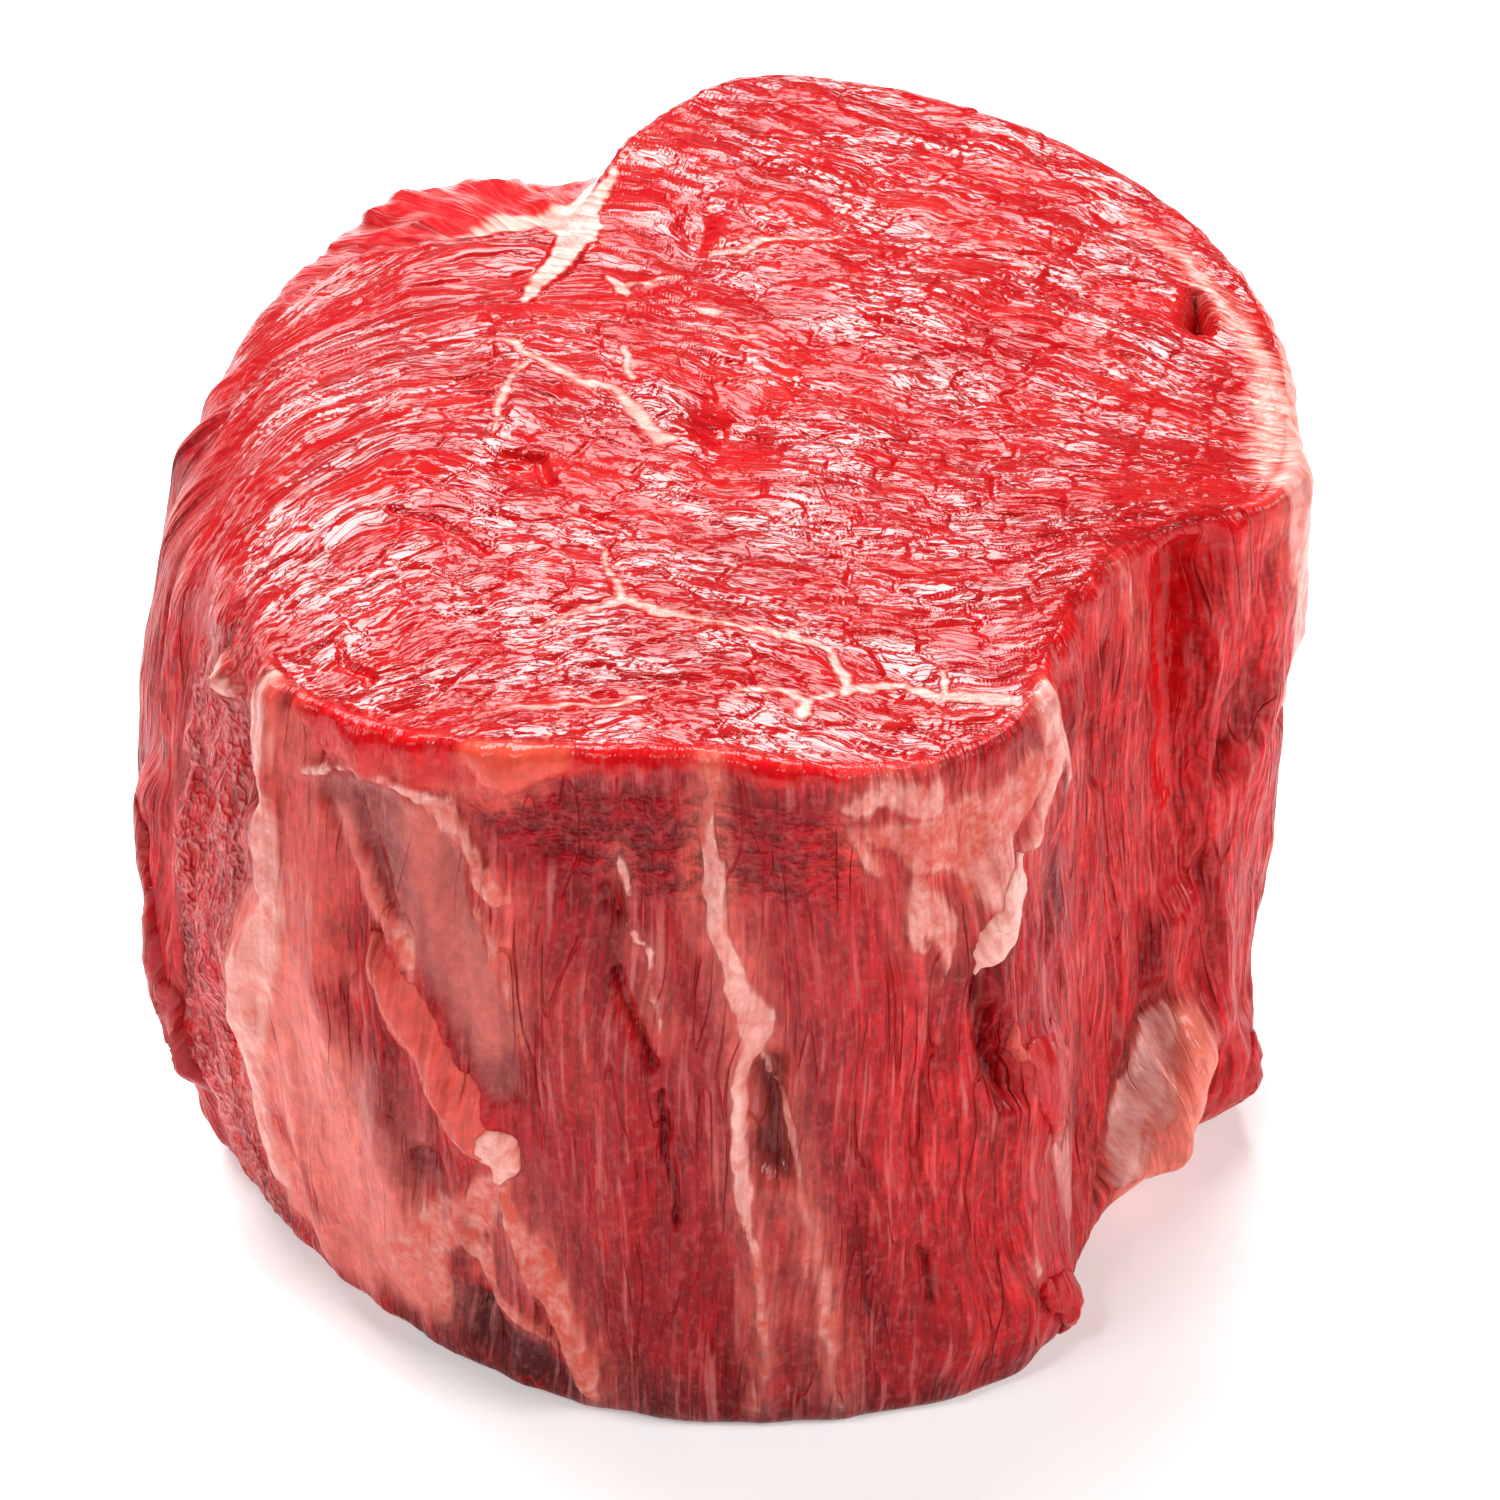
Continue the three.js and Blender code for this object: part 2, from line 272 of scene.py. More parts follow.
wallColours = {
    "leftFlank": ("leanRight", 5.0, 0.6, 0.0, 0.0, [(205, 50, 8), (205, 10, 8)]),
    "rightLean": ("leanRight", 5.0, 0.9, 0.0, 0.0, [(328, 56, 9), (328, 8, 9)]),
    "rightFlank": ("leanRight", 4.0, 0.9, 0.0, 0.0, [(346, 56, 5), (346, 6, 6)]),
    "upperMaroon": ("maroon", 2.6, 0.95, 0.25, -0.5, [(249, 53.8, 2.0), (258, 53, 3.4), (268, 52.4, 3.8),
        (279, 52, 3.4)]),
    "maroonDrift": ("maroon", 4.0, 0.55, 0.1, 0.0, [(258, 48, 3), (262, 36, 2.4)]),
    "frontBrown": ("purple", 5.0, 0.5, 0.35, 0.0, [(280, 46, 4), (281, 26, 4)]),
    "frontRed": ("leanRight", 3.5, 0.8, 0.0, 0.0, [(283.5, 53, 0.8), (286, 44, 1.0), (288, 34, 2.4),
        (292, 22, 5.0), (297, 12, 6.0)]),
    "fanRed": ("bright", 2.4, 0.6, 0.1, 0.0, [(295, 36, 0.8), (299, 30, 1.2), (303.5, 22, 1.4),
        (305.5, 12, 1.8), (305, 6, 2.0)]),
    # painted shade: the foot colour darkens the wall along its foot, and more at the front left
    "frontFootShade": ("foot", 5.0, 0.7, 0.0, 0.0, [(240, 1.5, 2.4), (262, 2.5, 3.0), (275, 2.0, 2.6),
        (300, 0, 0.6)]),
    "footShadeLeft": ("foot", 1.4, 0.95, 0.1, -0.5, [(240, 9.0, 1.4), (245, 6.5, 2.6), (252, 4.4, 1.8),
        (256, 3, 0.8)]),
    "frontSmooth": ("lean", 4.0, 0.3, 0.6, 0.0, [(252, 44, 3), (256, 22, 5), (268, 12, 5), (268, 40, 5),
        (280, 44, 3)]),
    "flapShadow": ("maroon", 0.8, 0.9, 0.0, -0.3, [(332.2, 18, 0.6), (329, 14, 0.9), (326, 10, 1.0),
        (323, 6.4, 0.8), (321.4, 4, 0.5)]),
    "tearInside": ("groove", 0.4, 0.9, 0.8, 0.0, [(261.2, 40.4, 0.2), (262.7, 37, 0.45), (264, 34.2, 0.3)]),
    "rimBandRight": ("rim", 1.0, 0.85, 0.7, 0.0, [(309, 59, 1.2), (318, 58.6, 2.0), (326, 57.0, 3.4),
        (334, 58, 2.6), (343, 58.6, 2.6), (347, 59, 1.6)]),
    "rimBand": ("rim", 0.7, 0.9, 1.0, 0.35, [(226, 59.2, 0.9), (230, 57.8, 2.4), (236, 57.0, 3.3),
        (243, 57.2, 2.9), (250, 58.2, 2.3), (262, 59.0, 1.6), (276, 59.0, 1.7), (288, 59.6, 1.1),
        (300, 60.0, 0.6)]),
    "orangeBlock": ("orange", 0.6, 0.85, 1.0, 0.4, [(246.6, 57.4, 1.3), (250, 57.2, 1.7),
        (254, 58.2, 1.2)]),
    "orangeBlockFoot": ("flap", 1.0, 0.7, 0.7, 0.0, [(245, 54.6, 0.8), (249, 54.8, 1.0), (253, 55.4, 0.6)]),
    "salmonField": ("salmon", 2.4, 0.9, 0.9, 0.3, [(222, 36, 2.6), (225, 29, 4.6), (229, 21, 5.6),
        (233, 13, 4.4), (237, 9, 2.6)]),
    "salmonFoot": ("salmon", 1.8, 0.9, 0.85, 0.0, [(217, 14, 1.6), (222, 8, 2.6), (229, 5.6, 2.4),
        (236, 6.4, 1.8), (240.5, 8, 1.0)]),
    "greyField": ("membrane", 2.6, 0.5, 0.9, 0.0, [(236, 26, 2.4), (240, 21, 2.6)]),
    # painted shade: maroon in the sunken corner of the grey field
    "cornerShade": ("maroon", 0.8, 0.85, 0.8, -0.5, [(241, 20.6, 1.2), (242.6, 17.6, 0.8)]),
    "orangeColumn": ("flap", 2.0, 0.8, 0.8, 0.0, [(226.4, 55.6, 1.0), (228.5, 50, 1.6), (229, 44, 1.9),
        (228, 38.5, 2.2), (231, 36.4, 1.4)]),
    "membraneField": ("membrane", 1.2, 0.9, 1.0, -0.35, [(231.5, 51.6, 1.4), (235.5, 50.8, 2.8),
        (240, 48.4, 3.4), (243, 43, 3.0), (246.6, 36.6, 2.0), (249.6, 30, 1.2)]),
    "membraneSalmon": ("salmon", 1.4, 0.55, 1.0, 0.0, [(240.4, 51.5, 0.9), (242.4, 46.4, 1.2),
        (245, 40.6, 1.3), (248, 34, 1.0)]),
    "membraneFold": ("salmon", 0.5, 0.7, 1.0, 0.4, [(232.2, 50.4, 0.25), (234.6, 45.6, 0.5),
        (237, 41, 0.4)]),
    # painted shade: maroon in the crease beside the membrane fold
    "membraneFoldShade": ("maroon", 0.5, 0.5, 1.0, -0.35, [(234, 52.0, 0.2), (236.4, 47.0, 0.35),
        (239.2, 41.6, 0.25)]),
    "midMembrane": ("purple", 1.6, 0.6, 0.8, 0.0, [(251, 25, 0.8), (254.6, 19.8, 1.4), (258, 13.6, 1.4),
        (260, 9.4, 0.7)]),
    "pocket": ("pocket", 0.3, 0.95, 0.9, -0.4, [(274.9, 33.6, 0.5), (275.3, 31.0, 1.1),
        (275.6, 26.6, 1.35)]),
    "seamGlow": ("salmon", 2.2, 0.35, 0.3, 0.0, [(270, 56, 0.8), (271, 46, 0.8), (274.5, 36, 1.6),
        (273.2, 26, 1.0), (275, 8, 0.8)]),
    "seamGlowRight": ("salmon", 2.0, 0.4, 0.3, 0.0, [(276, 34, 0.6), (278.4, 25, 0.8), (282, 5, 0.8)]),
    "browningA": ("flap", 2.2, 0.35, 0.2, 0.0, [(255.6, 40, 1.2), (258.6, 31, 1.2)]),
    "browningB": ("flap", 1.6, 0.3, 0.2, 0.0, [(250, 46, 1.0), (253, 38, 1.2)]),
    "cornerLobe": ("leanRight", 1.0, 0.8, 0.6, 0.0, [(304, 30, 1.6), (307, 25.4, 1.8)]),
    "lowerMembrane": ("pale", 1.2, 0.6, 0.8, 0.0, [(307, 22.6, 0.8), (310, 16.6, 1.0), (313, 8, 0.8)]),
    "leftLump": ("bright", 1.8, 0.6, 0.3, 0.0, [(213, 30, 2.0), (215.6, 26.6, 1.8)]),
    "cleftInside": ("groove", 0.8, 0.95, 0.9, 0.0, [(337.5, 57, 1.1), (337.2, 44, 1.0), (337, 34, 0.5)]),
    # painted shade: maroon in the gap between the fat flap and the wall
    "rightShade": ("maroon", 2.0, 0.6, 0.1, 0.0, [(334, 24, 0.8), (332, 14, 1.6), (330, 6, 1.4)]),
    # partly painted light: the flap's ground is its salmon lightened, as the flap sits in shade
    "flapGround": ("flapPaleLit", 0.7, 0.97, 0.85, 0.0, [(337, 15.6, 1.0), (335, 11.6, 2.8), (332, 7.5, 3.4),
        (329, 3.6, 3.0)]),
    # painted shade: maroon darkens the lower and the middle of the front wall
    "lowFrontShade": ("maroon", 6.0, 0.55, 0.2, 0.0, [(258, 12, 4), (270, 12, 7), (284, 12, 6)]),
    "midFrontShade": ("maroon", 6.0, 0.35, 0.2, 0.0, [(261, 38, 4), (268, 30, 7), (277, 24, 5)]),
    "behindCorner": ("maroon", 1.8, 0.7, 0.2, 0.0, [(308.6, 52, 0.8), (309.6, 46, 1.0), (309, 38, 0.6)]),
    "rightGlow": ("bright", 2.0, 0.45, 0.2, 0.0, [(314, 46, 1.0), (312, 34, 1.4), (309, 28, 1.0)]),
    "rightEdgeRed": ("bright", 1.2, 0.6, 0.4, 0.0, [(345, 37, 0.9), (344.6, 30, 0.9)]),
    "lowerRight": ("bright", 1.4, 0.6, 0.4, 0.0, [(345, 7.5, 1.6), (344, 3.4, 1.8)]),
}

# Fat on the wall: how far it stands out, its colour from 0, cream, to 1, salmon, how far it
# frays, how sharp its edge is, how much of it shows at most, and its way as above

wallFat = {
    "leftCornerKnob": (0.6, 0.35, 0.3, 0.55, 1.0, [(223.4, 57.4, 1.0), (222.8, 54, 1.8),
        (222.4, 50.5, 1.5)]),
    "longTongue": (0.6, 0.85, 0.5, 1.0, 1.0, [(250, 20, 0.6), (253, 15.9, 1.2), (255, 11.5, 1.1),
        (258, 5.1, 1.2), (259, 2.4, 0.4)]),
    "thinTongue": (0.5, 0.85, 0.6, 1.0, 1.0, [(244, 17, 0.6), (246, 14.6, 1.1), (249, 10.5, 0.7),
        (254, 7.0, 0.4), (256, 5.6, 0.15)]),
    "leftCornerBand": (0.35, 0.42, 1.0, 0.55, 1.0, [(222.2, 51, 0.9), (224.2, 46, 1.1), (224, 39, 1.4),
        (221.4, 32.5, 1.9), (218.8, 24, 1.9), (217.6, 15, 1.5), (218.4, 9, 0.9)]),
    "leftCornerLine": (0.3, 0.12, 0.8, 0.55, 1.0, [(222.8, 52, 0.3), (225.2, 46.6, 0.45), (225.2, 40, 0.5),
        (222, 35, 0.4), (219, 27, 0.5), (217, 20, 0.4)]),
    "membraneEdge": (0.7, 0.3, 0.4, 1.5, 1.0, [(227.8, 52.6, 0.35), (231, 53.6, 0.42), (234, 53.9, 0.35),
        (237, 54.5, 0.35), (241, 53.8, 0.5), (243.4, 52.4, 0.4)]),
    "membraneRimStrip": (0.7, 0.7, 0.5, 1.0, 1.0, [(242.8, 52.6, 0.8), (245, 50.4, 0.9), (247, 48.2, 1.0),
        (249, 46.6, 0.7)]),
    "membraneRimFoot": (0.3, 0.85, 1.2, 0.55, 1.0, [(247, 45, 0.6), (248.6, 42, 0.7), (249.6, 38.4, 0.5),
        (251, 34, 0.3)]),
    "shortFold": (0.4, 0.8, 0.5, 0.55, 1.0, [(236.2, 44.4, 0.3), (238, 42, 0.7), (239.8, 39.6, 0.5)]),
    "lowField": (0.35, 0.85, 1.0, 0.55, 1.0, [(249.6, 21.4, 0.9), (247, 18.6, 1.8), (243, 15.6, 2.0),
        (239.6, 12.4, 1.8), (236, 10, 1.2)]),
    "lowFieldFoot": (0.3, 0.85, 1.0, 0.55, 1.0, [(241, 12.6, 1.3), (240.8, 8.4, 1.1), (241.2, 5, 0.6)]),
    "frontSeamTop": (0.12, 0.95, 1.2, 0.55, 1.0, [(270, 58.6, 0.75), (270, 55, 0.7), (270, 52, 0.55)]),
    "leftNodule": (1.0, 0.15, 0.1, 1.2, 1.0, [(212.4, 54.2, 0.7), (215.6, 53.8, 0.9)]),
    "flapBody": (0.6, 0.62, 0.2, 1.4, 0.1, [(337, 15.6, 1.2), (335, 11.6, 3.0), (332, 7.5, 3.6),
        (329, 3.6, 3.2)]),
    "flapCrest": (0.7, 0.2, 0.3, 1.0, 1.0, [(335.4, 17.0, 0.4), (332.6, 14.4, 1.5), (330, 11, 1.7),
        (327, 7.6, 1.5), (324.6, 4.4, 0.7)]),
    "cornerColumn": (0.7, 0.25, 0.4, 0.9, 1.0, [(305.2, 60.4, 1.0), (306, 58, 1.3), (307, 55, 1.2),
        (308.2, 52, 0.8), (309.4, 49.6, 0.4)]),
    "frontSeam": (0.3, 0.35, 1.0, 1.5, 1.0, [(270, 55, 0.6), (270.3, 49, 0.7), (271.3, 45.4, 0.55),
        (273, 41.9, 0.7), (274.3, 38.3, 1.1), (274.4, 35.9, 0.9)]),
    "frontSeamLeft": (0.4, 0.3, 0.8, 1.5, 1.0, [(274.2, 36, 0.7), (273.2, 33, 0.55), (273, 29, 0.6),
        (273.3, 24.6, 0.6), (273.8, 21.5, 0.4), (274.4, 18, 0.15)]),
    "frontSeamLow": (0.15, 0.75, 1.2, 0.55, 1.0, [(274.2, 19, 0.3), (275, 13.6, 0.3), (275, 3, 0.35)]),
    "frontSeamRight": (0.35, 0.4, 1.0, 1.5, 1.0, [(274.8, 36, 0.4), (277, 31.8, 0.2), (278, 27.4, 0.4),
        (278.3, 24.6, 0.25)]),
    "frontSeamRightLow": (0.3, 0.7, 0.9, 0.55, 1.0, [(278.6, 24, 0.4), (280, 17.4, 0.5), (281, 12.5, 0.65),
        (282, 3.3, 0.55)]),
    "flecks": (0.3, 0.2, 0.8, 1.5, 1.0, [(261, 50.3, 0.35), (261.8, 48, 0.45)]),
    "flecksLow": (0.3, 0.25, 0.8, 1.5, 1.0, [(261.6, 45.2, 0.18), (264, 43.1, 0.36), (264.2, 41.6, 0.16)]),
    "fleckThread": (0.2, 0.35, 0.8, 1.5, 1.0, [(264.6, 40, 0.1), (265, 37.6, 0.2), (265.2, 36, 0.08)]),
    "patchTop": (0.45, 0.5, 0.5, 0.55, 1.0, [(283.3, 55.4, 0.5), (287, 57, 1.2), (291, 56.2, 1.3)]),
    "patchField": (0.35, 0.85, 0.6, 0.55, 1.0, [(286, 54, 0.9), (291, 52.6, 2.6), (297, 52, 3.0),
        (303, 54, 2.2)]),
    "patchEdge": (0.5, 0.45, 0.4, 0.55, 1.0, [(306.4, 57, 0.8), (305.6, 52.6, 0.9), (303.4, 48.6, 0.8)]),
    "patchLeftEnd": (0.4, 0.5, 0.6, 0.55, 1.0, [(284, 54, 0.5), (285.4, 51.6, 0.6), (286.2, 50, 0.3)]),
    "patchBelow": (0.45, 0.6, 0.6, 0.55, 1.0, [(297.6, 49.5, 2.4), (298.6, 46.6, 1.6), (299.3, 44, 1.0)]),
    "patchTip": (0.3, 0.55, 0.7, 0.55, 1.0, [(289.6, 49, 1.0), (291.6, 46, 1.4), (292.6, 42.6, 0.5),
        (292.2, 41, 0.2)]),
    "patchLeft": (0.3, 0.5, 0.9, 0.55, 1.0, [(288.4, 48.4, 0.2), (289.2, 45.6, 0.5), (290, 43.6, 0.2)]),
    "cornerTongue": (0.4, 0.6, 0.6, 0.55, 1.0, [(308.6, 54, 0.5), (310.5, 51, 0.5), (312.6, 48, 0.25)]),
    "rightThinSeam": (0.12, 0.6, 0.4, 0.55, 1.0, [(329, 59.6, 0.22), (330.4, 56, 0.2), (332, 51, 0.1)]),
    "rightFatEdge": (0.3, 0.35, 0.8, 0.55, 1.0, [(349, 60, 1.8), (351, 56, 2.6), (352.5, 50, 2.6),
        (353, 44, 2.0), (353.5, 38, 1.0)]),
    "rimPale": (0.0, 0.4, 0.8, 0.55, 1.0, [(42, 60.8, 0.4), (20, 60.4, 1.0), (5, 60, 1.4),
        (352, 59.6, 1.6)]),
    "paleSpots": (0.4, 0.4, 0.4, 0.55, 1.0, [(301.4, 12.6, 0.35), (302, 11.4, 0.5)]),
}

# The upper cut face: which way its fibres run, as X, Y and degrees. Past the left edge they
# turn down over the shoulder.

flowHints = [
    (-30, 14, 60), (-33, 0, 80), (-30, -14, 70), (-22, 10, 20), (-20, -2, -5), (-20, -12, -25),
    (-12, -8, -28), (-24, -22, 25), (-14, -24, 12), (-14, -32, 8), (0, -30, 4), (-4, -16, -6),
    (0, -8, -35), (-6, 6, -20), (-10, 14, 15), (4, 10, -25), (12, 8, -25), (8, -12, -10), (14, -20, -15),
    (20, -6, -18), (28, -6, -12), (22, 8, -20), (32, 4, -30), (24, -24, 35), (18, -29, 25), (8, 26, -30),
    (0, 34, -20), (16, 28, -25), (28, 20, -40), (-4, 22, -40), (-44, 4, 0), (-44, -8, 12), (-42, 16, -22),
]

# Marbling on the upper cut face: its colour as above, how softly it fades in millimetres,
# and its way as X, Y and half width

faceFat = {
    "notchBody": (0.05, 0.7, [(-14, 23.4, 0.9), (-11.6, 22.8, 1.7), (-9.8, 21.6, 1.7), (-9.4, 20, 0.9)]),
    "notchUp": (0.05, 0.7, [(-10, 22, 1.3), (-8.6, 25, 0.6), (-7.2, 29, 0.25)]),
    "notchDown": (0.05, 0.7, [(-10, 20.5, 1.4), (-11.6, 16.8, 0.9), (-13.6, 12.6, 0.35)]),
    "notchLeft": (0.2, 0.7, [(-13, 23.3, 0.8), (-17, 23.2, 0.45), (-21.5, 22.2, 0.15)]),
    "arc": (0.1, 0.7, [(-17.8, 7.8, 0.04), (-14.2, 7.3, 0.12), (-12.7, 5.2, 0.2), (-10.8, 3.7, 0.26),
        (-9.1, 2.3, 0.2), (-6.9, 1.3, 0.24), (-4.9, -2, 0.26), (-3.4, -4.6, 0.5), (-2.6, -4.5, 0.3)]),
    "arcDown": (0.2, 0.7, [(-12.7, 5.2, 0.2), (-14.1, 3.4, 0.14), (-14.6, 1.2, 0.2), (-15.4, -3.1, 0.06)]),
    "upperSpot": (0.2, 0.7, [(-7.6, 15.3, 0.08), (-6.5, 12.9, 0.42), (-6.2, 12.4, 0.2)]),
    "upperThread": (0.2, 0.7, [(-6, 13.8, 0.1), (-4.2, 14.6, 0.06), (-2.3, 14.9, 0.03)]),
    "backThread": (0.1, 0.7, [(0.1, 17.9, 0.12), (2.2, 17.6, 0.36), (3.2, 18.9, 0.2), (5.7, 19.3, 0.15),
        (8, 19.1, 0.1), (10.4, 19.8, 0.03)]),
    "oval": (0.0, 0.7, [(-0.7, 10.5, 0.36), (0.2, 10.1, 0.42)]),
    "midThread": (0.1, 0.7, [(-2.3, 8.2, 0.04), (-0.5, 8, 0.12), (1.4, 7.2, 0.2), (2.5, 7, 0.2),
        (4, 7.6, 0.03)]),
    "shortThread": (0.1, 0.7, [(-6.3, 6.2, 0.2), (-6.1, 3.9, 0.14), (-5.6, 2.4, 0.2)]),
    "mainSeam": (0.3, 0.7, [(-11.4, -23.9, 0.08), (-8.1, -22.3, 0.14), (-5.8, -21.7, 0.22),
        (-3.7, -22.5, 0.22), (-0.6, -23.9, 0.14), (1.9, -24.4, 0.12), (4.5, -24.8, 0.26),
        (6.9, -25.6, 0.16), (8.3, -26.8, 0.18), (9.1, -28.8, 0.26), (9.4, -30.3, 0.3), (12.8, -29.6, 0.18),
        (15.3, -30.8, 0.4), (18.2, -30.6, 0.5), (20.6, -31, 0.4)]),
    "mainSeamUp": (0.2, 0.7, [(-5.8, -21.7, 0.14), (-6.1, -20.5, 0.08), (-6.9, -18.1, 0.14),
        (-7, -15.7, 0.03)]),
    "mainSeamFork": (0.2, 0.7, [(4.9, -25.2, 0.15), (6.6, -23.4, 0.04)]),
    "lastFork": (0.1, 0.7, [(15.6, -28.2, 0.2), (15.4, -30.6, 0.3)]),
    "frontThread": (0.2, 0.7, [(-15.3, -32.2, 0.02), (-13.6, -31.4, 0.08), (-10.8, -31.4, 0.14),
        (-7.7, -31.5, 0.06), (-5.2, -31.1, 0.09), (-2.7, -30.6, 0.02)]),
    "frontThreadRight": (0.2, 0.7, [(0.5, -30.6, 0.03), (3.2, -30.3, 0.1), (5.6, -30.6, 0.1),
        (6.5, -31.2, 0.16), (8.3, -30.7, 0.03)]),
    "drop": (0.1, 0.7, [(6.5, -31.3, 0.1), (6.3, -33, 0.3)]),
    "rightRim": (0.35, 4.0, [(31, 24, 0.2), (35, 17.5, 0.7), (38.6, 9.5, 0.9), (39.6, 5, 1.3), (40, 1, 1.8),
        (39.4, -4, 1.5), (38.8, -7.5, 0.8)]),
}

# The same on the low side muscle behind the notch
notchFat = [(-8.6, 31, 0.8), (-9.4, 26.8, 1.5), (-12, 24, 2.2), (-16, 23.4, 1.3), (-20.5, 21.2, 0.4)]

# Pits of the face: place, half sizes, depth, and how dark they are inside

facePits = {
    "centreHollow": ((1.6, -3.2), (2.4, 4.2), 1.2, 0.5),
    "deepHole": ((35.4, 11.2), (0.8, 1.5), 2.2, 1.0),
    "hookedPit": ((-13.0, -7.4), (1.6, 1.3), 0.6, 0.8),
    "longTear": ((-18.6, -13.6), (3.6, 0.9), 0.3, 0.5),
    "crease": ((-1.2, 20.6), (1.2, 3.6), 0.7, 0.35),
}

# Tears of the face: depth, and the way as X, Y and half width

faceTears = {
    "tearA": (0.4, [(-22.1, -11.9, 0.05), (-18.5, -13.1, 0.3), (-15.2, -16.4, 0.15)]),
    "tearB": (0.3, [(-23.1, -7.8, 0.05), (-20.6, -8.6, 0.25), (-18.4, -9.8, 0.05)]),
    "hook": (0.6, [(-14.3, -5.8, 0.1), (-11.8, -6.4, 0.3), (-11.2, -9.2, 0.25)]),
    "tearC": (0.4, [(-8.6, -12, 0.05), (-7, -13.1, 0.3), (-5.4, -14.3, 0.1)]),
    "tearD": (0.35, [(11.5, 9.3, 0.05), (13.4, 8.4, 0.25), (15.3, 7.5, 0.1)]),
    "holeCrack": (1.2, [(35.4, 13.6, 0.1), (35.6, 12, 0.3), (36.2, 9.6, 0.3)]),
    "knife": (0.5, [(-3.4, 24.7, 0.05), (-1.3, 20.3, 0.12), (0.8, 18.4, 0.05)]),
    "knifeRight": (0.35, [(1.5, 23.7, 0.05), (4.2, 19.7, 0.1)]),
    "leftFork": (0.4, [(-24.6, -24.4, 0.05), (-24.2, -26.2, 0.2), (-22.4, -27.8, 0.3)]),
}

# Low swells of the face, which lean it towards the light or away: X, Y, half sizes and height

faceSwells = [
    (-22, -8, 10, 8, 0.7), (-22, -30, 12, 6, -0.5), (0, -22, 16, 5, 0.35), (4, -36, 20, 4, -0.4),
    (14, 12, 10, 6, 0.5), (6, 28, 12, 5, 0.4), (10, -10, 8, 5, 0.45), (-12, 16, 7, 5, -0.5),
    (-2, 2, 5, 5, 0.35), (26, -14, 8, 6, 0.4), (30, 18, 6, 7, -0.3), (-30, 10, 6, 8, -0.4),
]

# Where the face has dried: X, Y, half sizes and how much rougher it is
faceDull = [(28, -10, 13, 9, 0.06), (-20, 17, 12, 7, 0.1), (-5, 6, 9, 7, 0.07), (-44, -8, 8, 26, 0.1)]


net = {
    "columns": 896,        # round the wall, a multiple of 8
    "frontSweep": (205.0, 355.0),
    "frontShare": 0.5,     # of the columns, so that the shown side is the finer one
    "wallRows": 105,
    "faceRings": 150,
    "halvings": (0.5, 0.25, 0.12),  # of the radius, where the face's rings halve their columns
    "tuck": 5.0,           # mm that each piece runs on inside the other, out of sight
    "fadeRim": 3.5,        # mm below the rim over which the wall's relief sets in
}


def columnAngles():
    first, last = net["frontSweep"]
    front = int(round(net["columns"] * net["frontShare"]))
    back = net["columns"] - front
    fine = first + (last - first) * np.arange(front) / front
    coarse = last + (360.0 - last + first) * np.arange(back) / back
    return np.concatenate([fine, coarse])


# The surface as rings of places, before any relief: foot edge first, middle of the face last
def surfaceNet(angles):
    edge = edgeRadius(angles)
    inner = outlineRadius(faceOutline, angles) - edge
    cosA, sinA = np.cos(np.radians(angles)), np.sin(np.radians(angles))
    level = faceLevel(inner * cosA, inner * sinA)
    foot = cut["footRound"]
    straight = level - edge - foot
    length = np.pi / 2 * foot + straight + np.pi / 2 * edge
    rows = np.linspace(0.0, 1.0, net["wallRows"] + 1)[:, None]
    arc = rows * length[None, :]
    footTurn = np.clip(arc / foot, 0.0, np.pi / 2)
    edgeTurn = np.clip((arc - np.pi / 2 * foot - straight) / edge, 0.0, np.pi / 2)
    rise = np.clip(arc - np.pi / 2 * foot, 0.0, straight)
    z = foot * (1 - np.cos(footTurn)) + rise + edge * np.sin(edgeTurn)
    radius = plainWall(angles[None, :], z, level[None, :])
    radius = radius - foot * (1 - np.sin(footTurn)) - edge * (1 - np.cos(edgeTurn))
    share = 1.0 - np.arange(1, net["faceRings"] + 1)[:, None] / net["faceRings"]
    # a belly may push the wall's last row off the plain inner radius, so the face starts from it
    faceR = radius[-1][None, :] * share
    faceZ = faceLevel(faceR * cosA, faceR * sinA)
    lip = z[-1] - faceLevel(radius[-1] * cosA, radius[-1] * sinA)
    faceZ = faceZ + lip[None, :] * share**4
    allR = np.concatenate([radius, faceR])
    allZ = np.concatenate([z, faceZ])
    places = np.stack([allR * cosA, allR * sinA, allZ], axis=-1)
    arcAll = np.concatenate([arc, arc[-1][None, :] + (radius[-1][None, :] - faceR)])
    turnAll = np.concatenate([edgeTurn, np.full(faceR.shape, np.pi / 2)])
    toEdge = np.concatenate([length[None, :] - arc, faceR - radius[-1][None, :]])
    return places, arcAll, turnAll, toEdge


def outward(places):
    across = np.roll(places, -1, axis=1) - np.roll(places, 1, axis=1)
    up = np.gradient(places, axis=0)
    normal = np.cross(across, up)
    size = np.linalg.norm(normal, axis=-1, keepdims=True)
    normal = normal / np.maximum(size, 1e-9)
    normal[-1] = (0.0, 0.0, 1.0)
    return normal


flowFit = {"span": 54.0, "apart": 12.0, "reach": 13.0, "stiff": 0.02}   # mm, but for how stiff it is


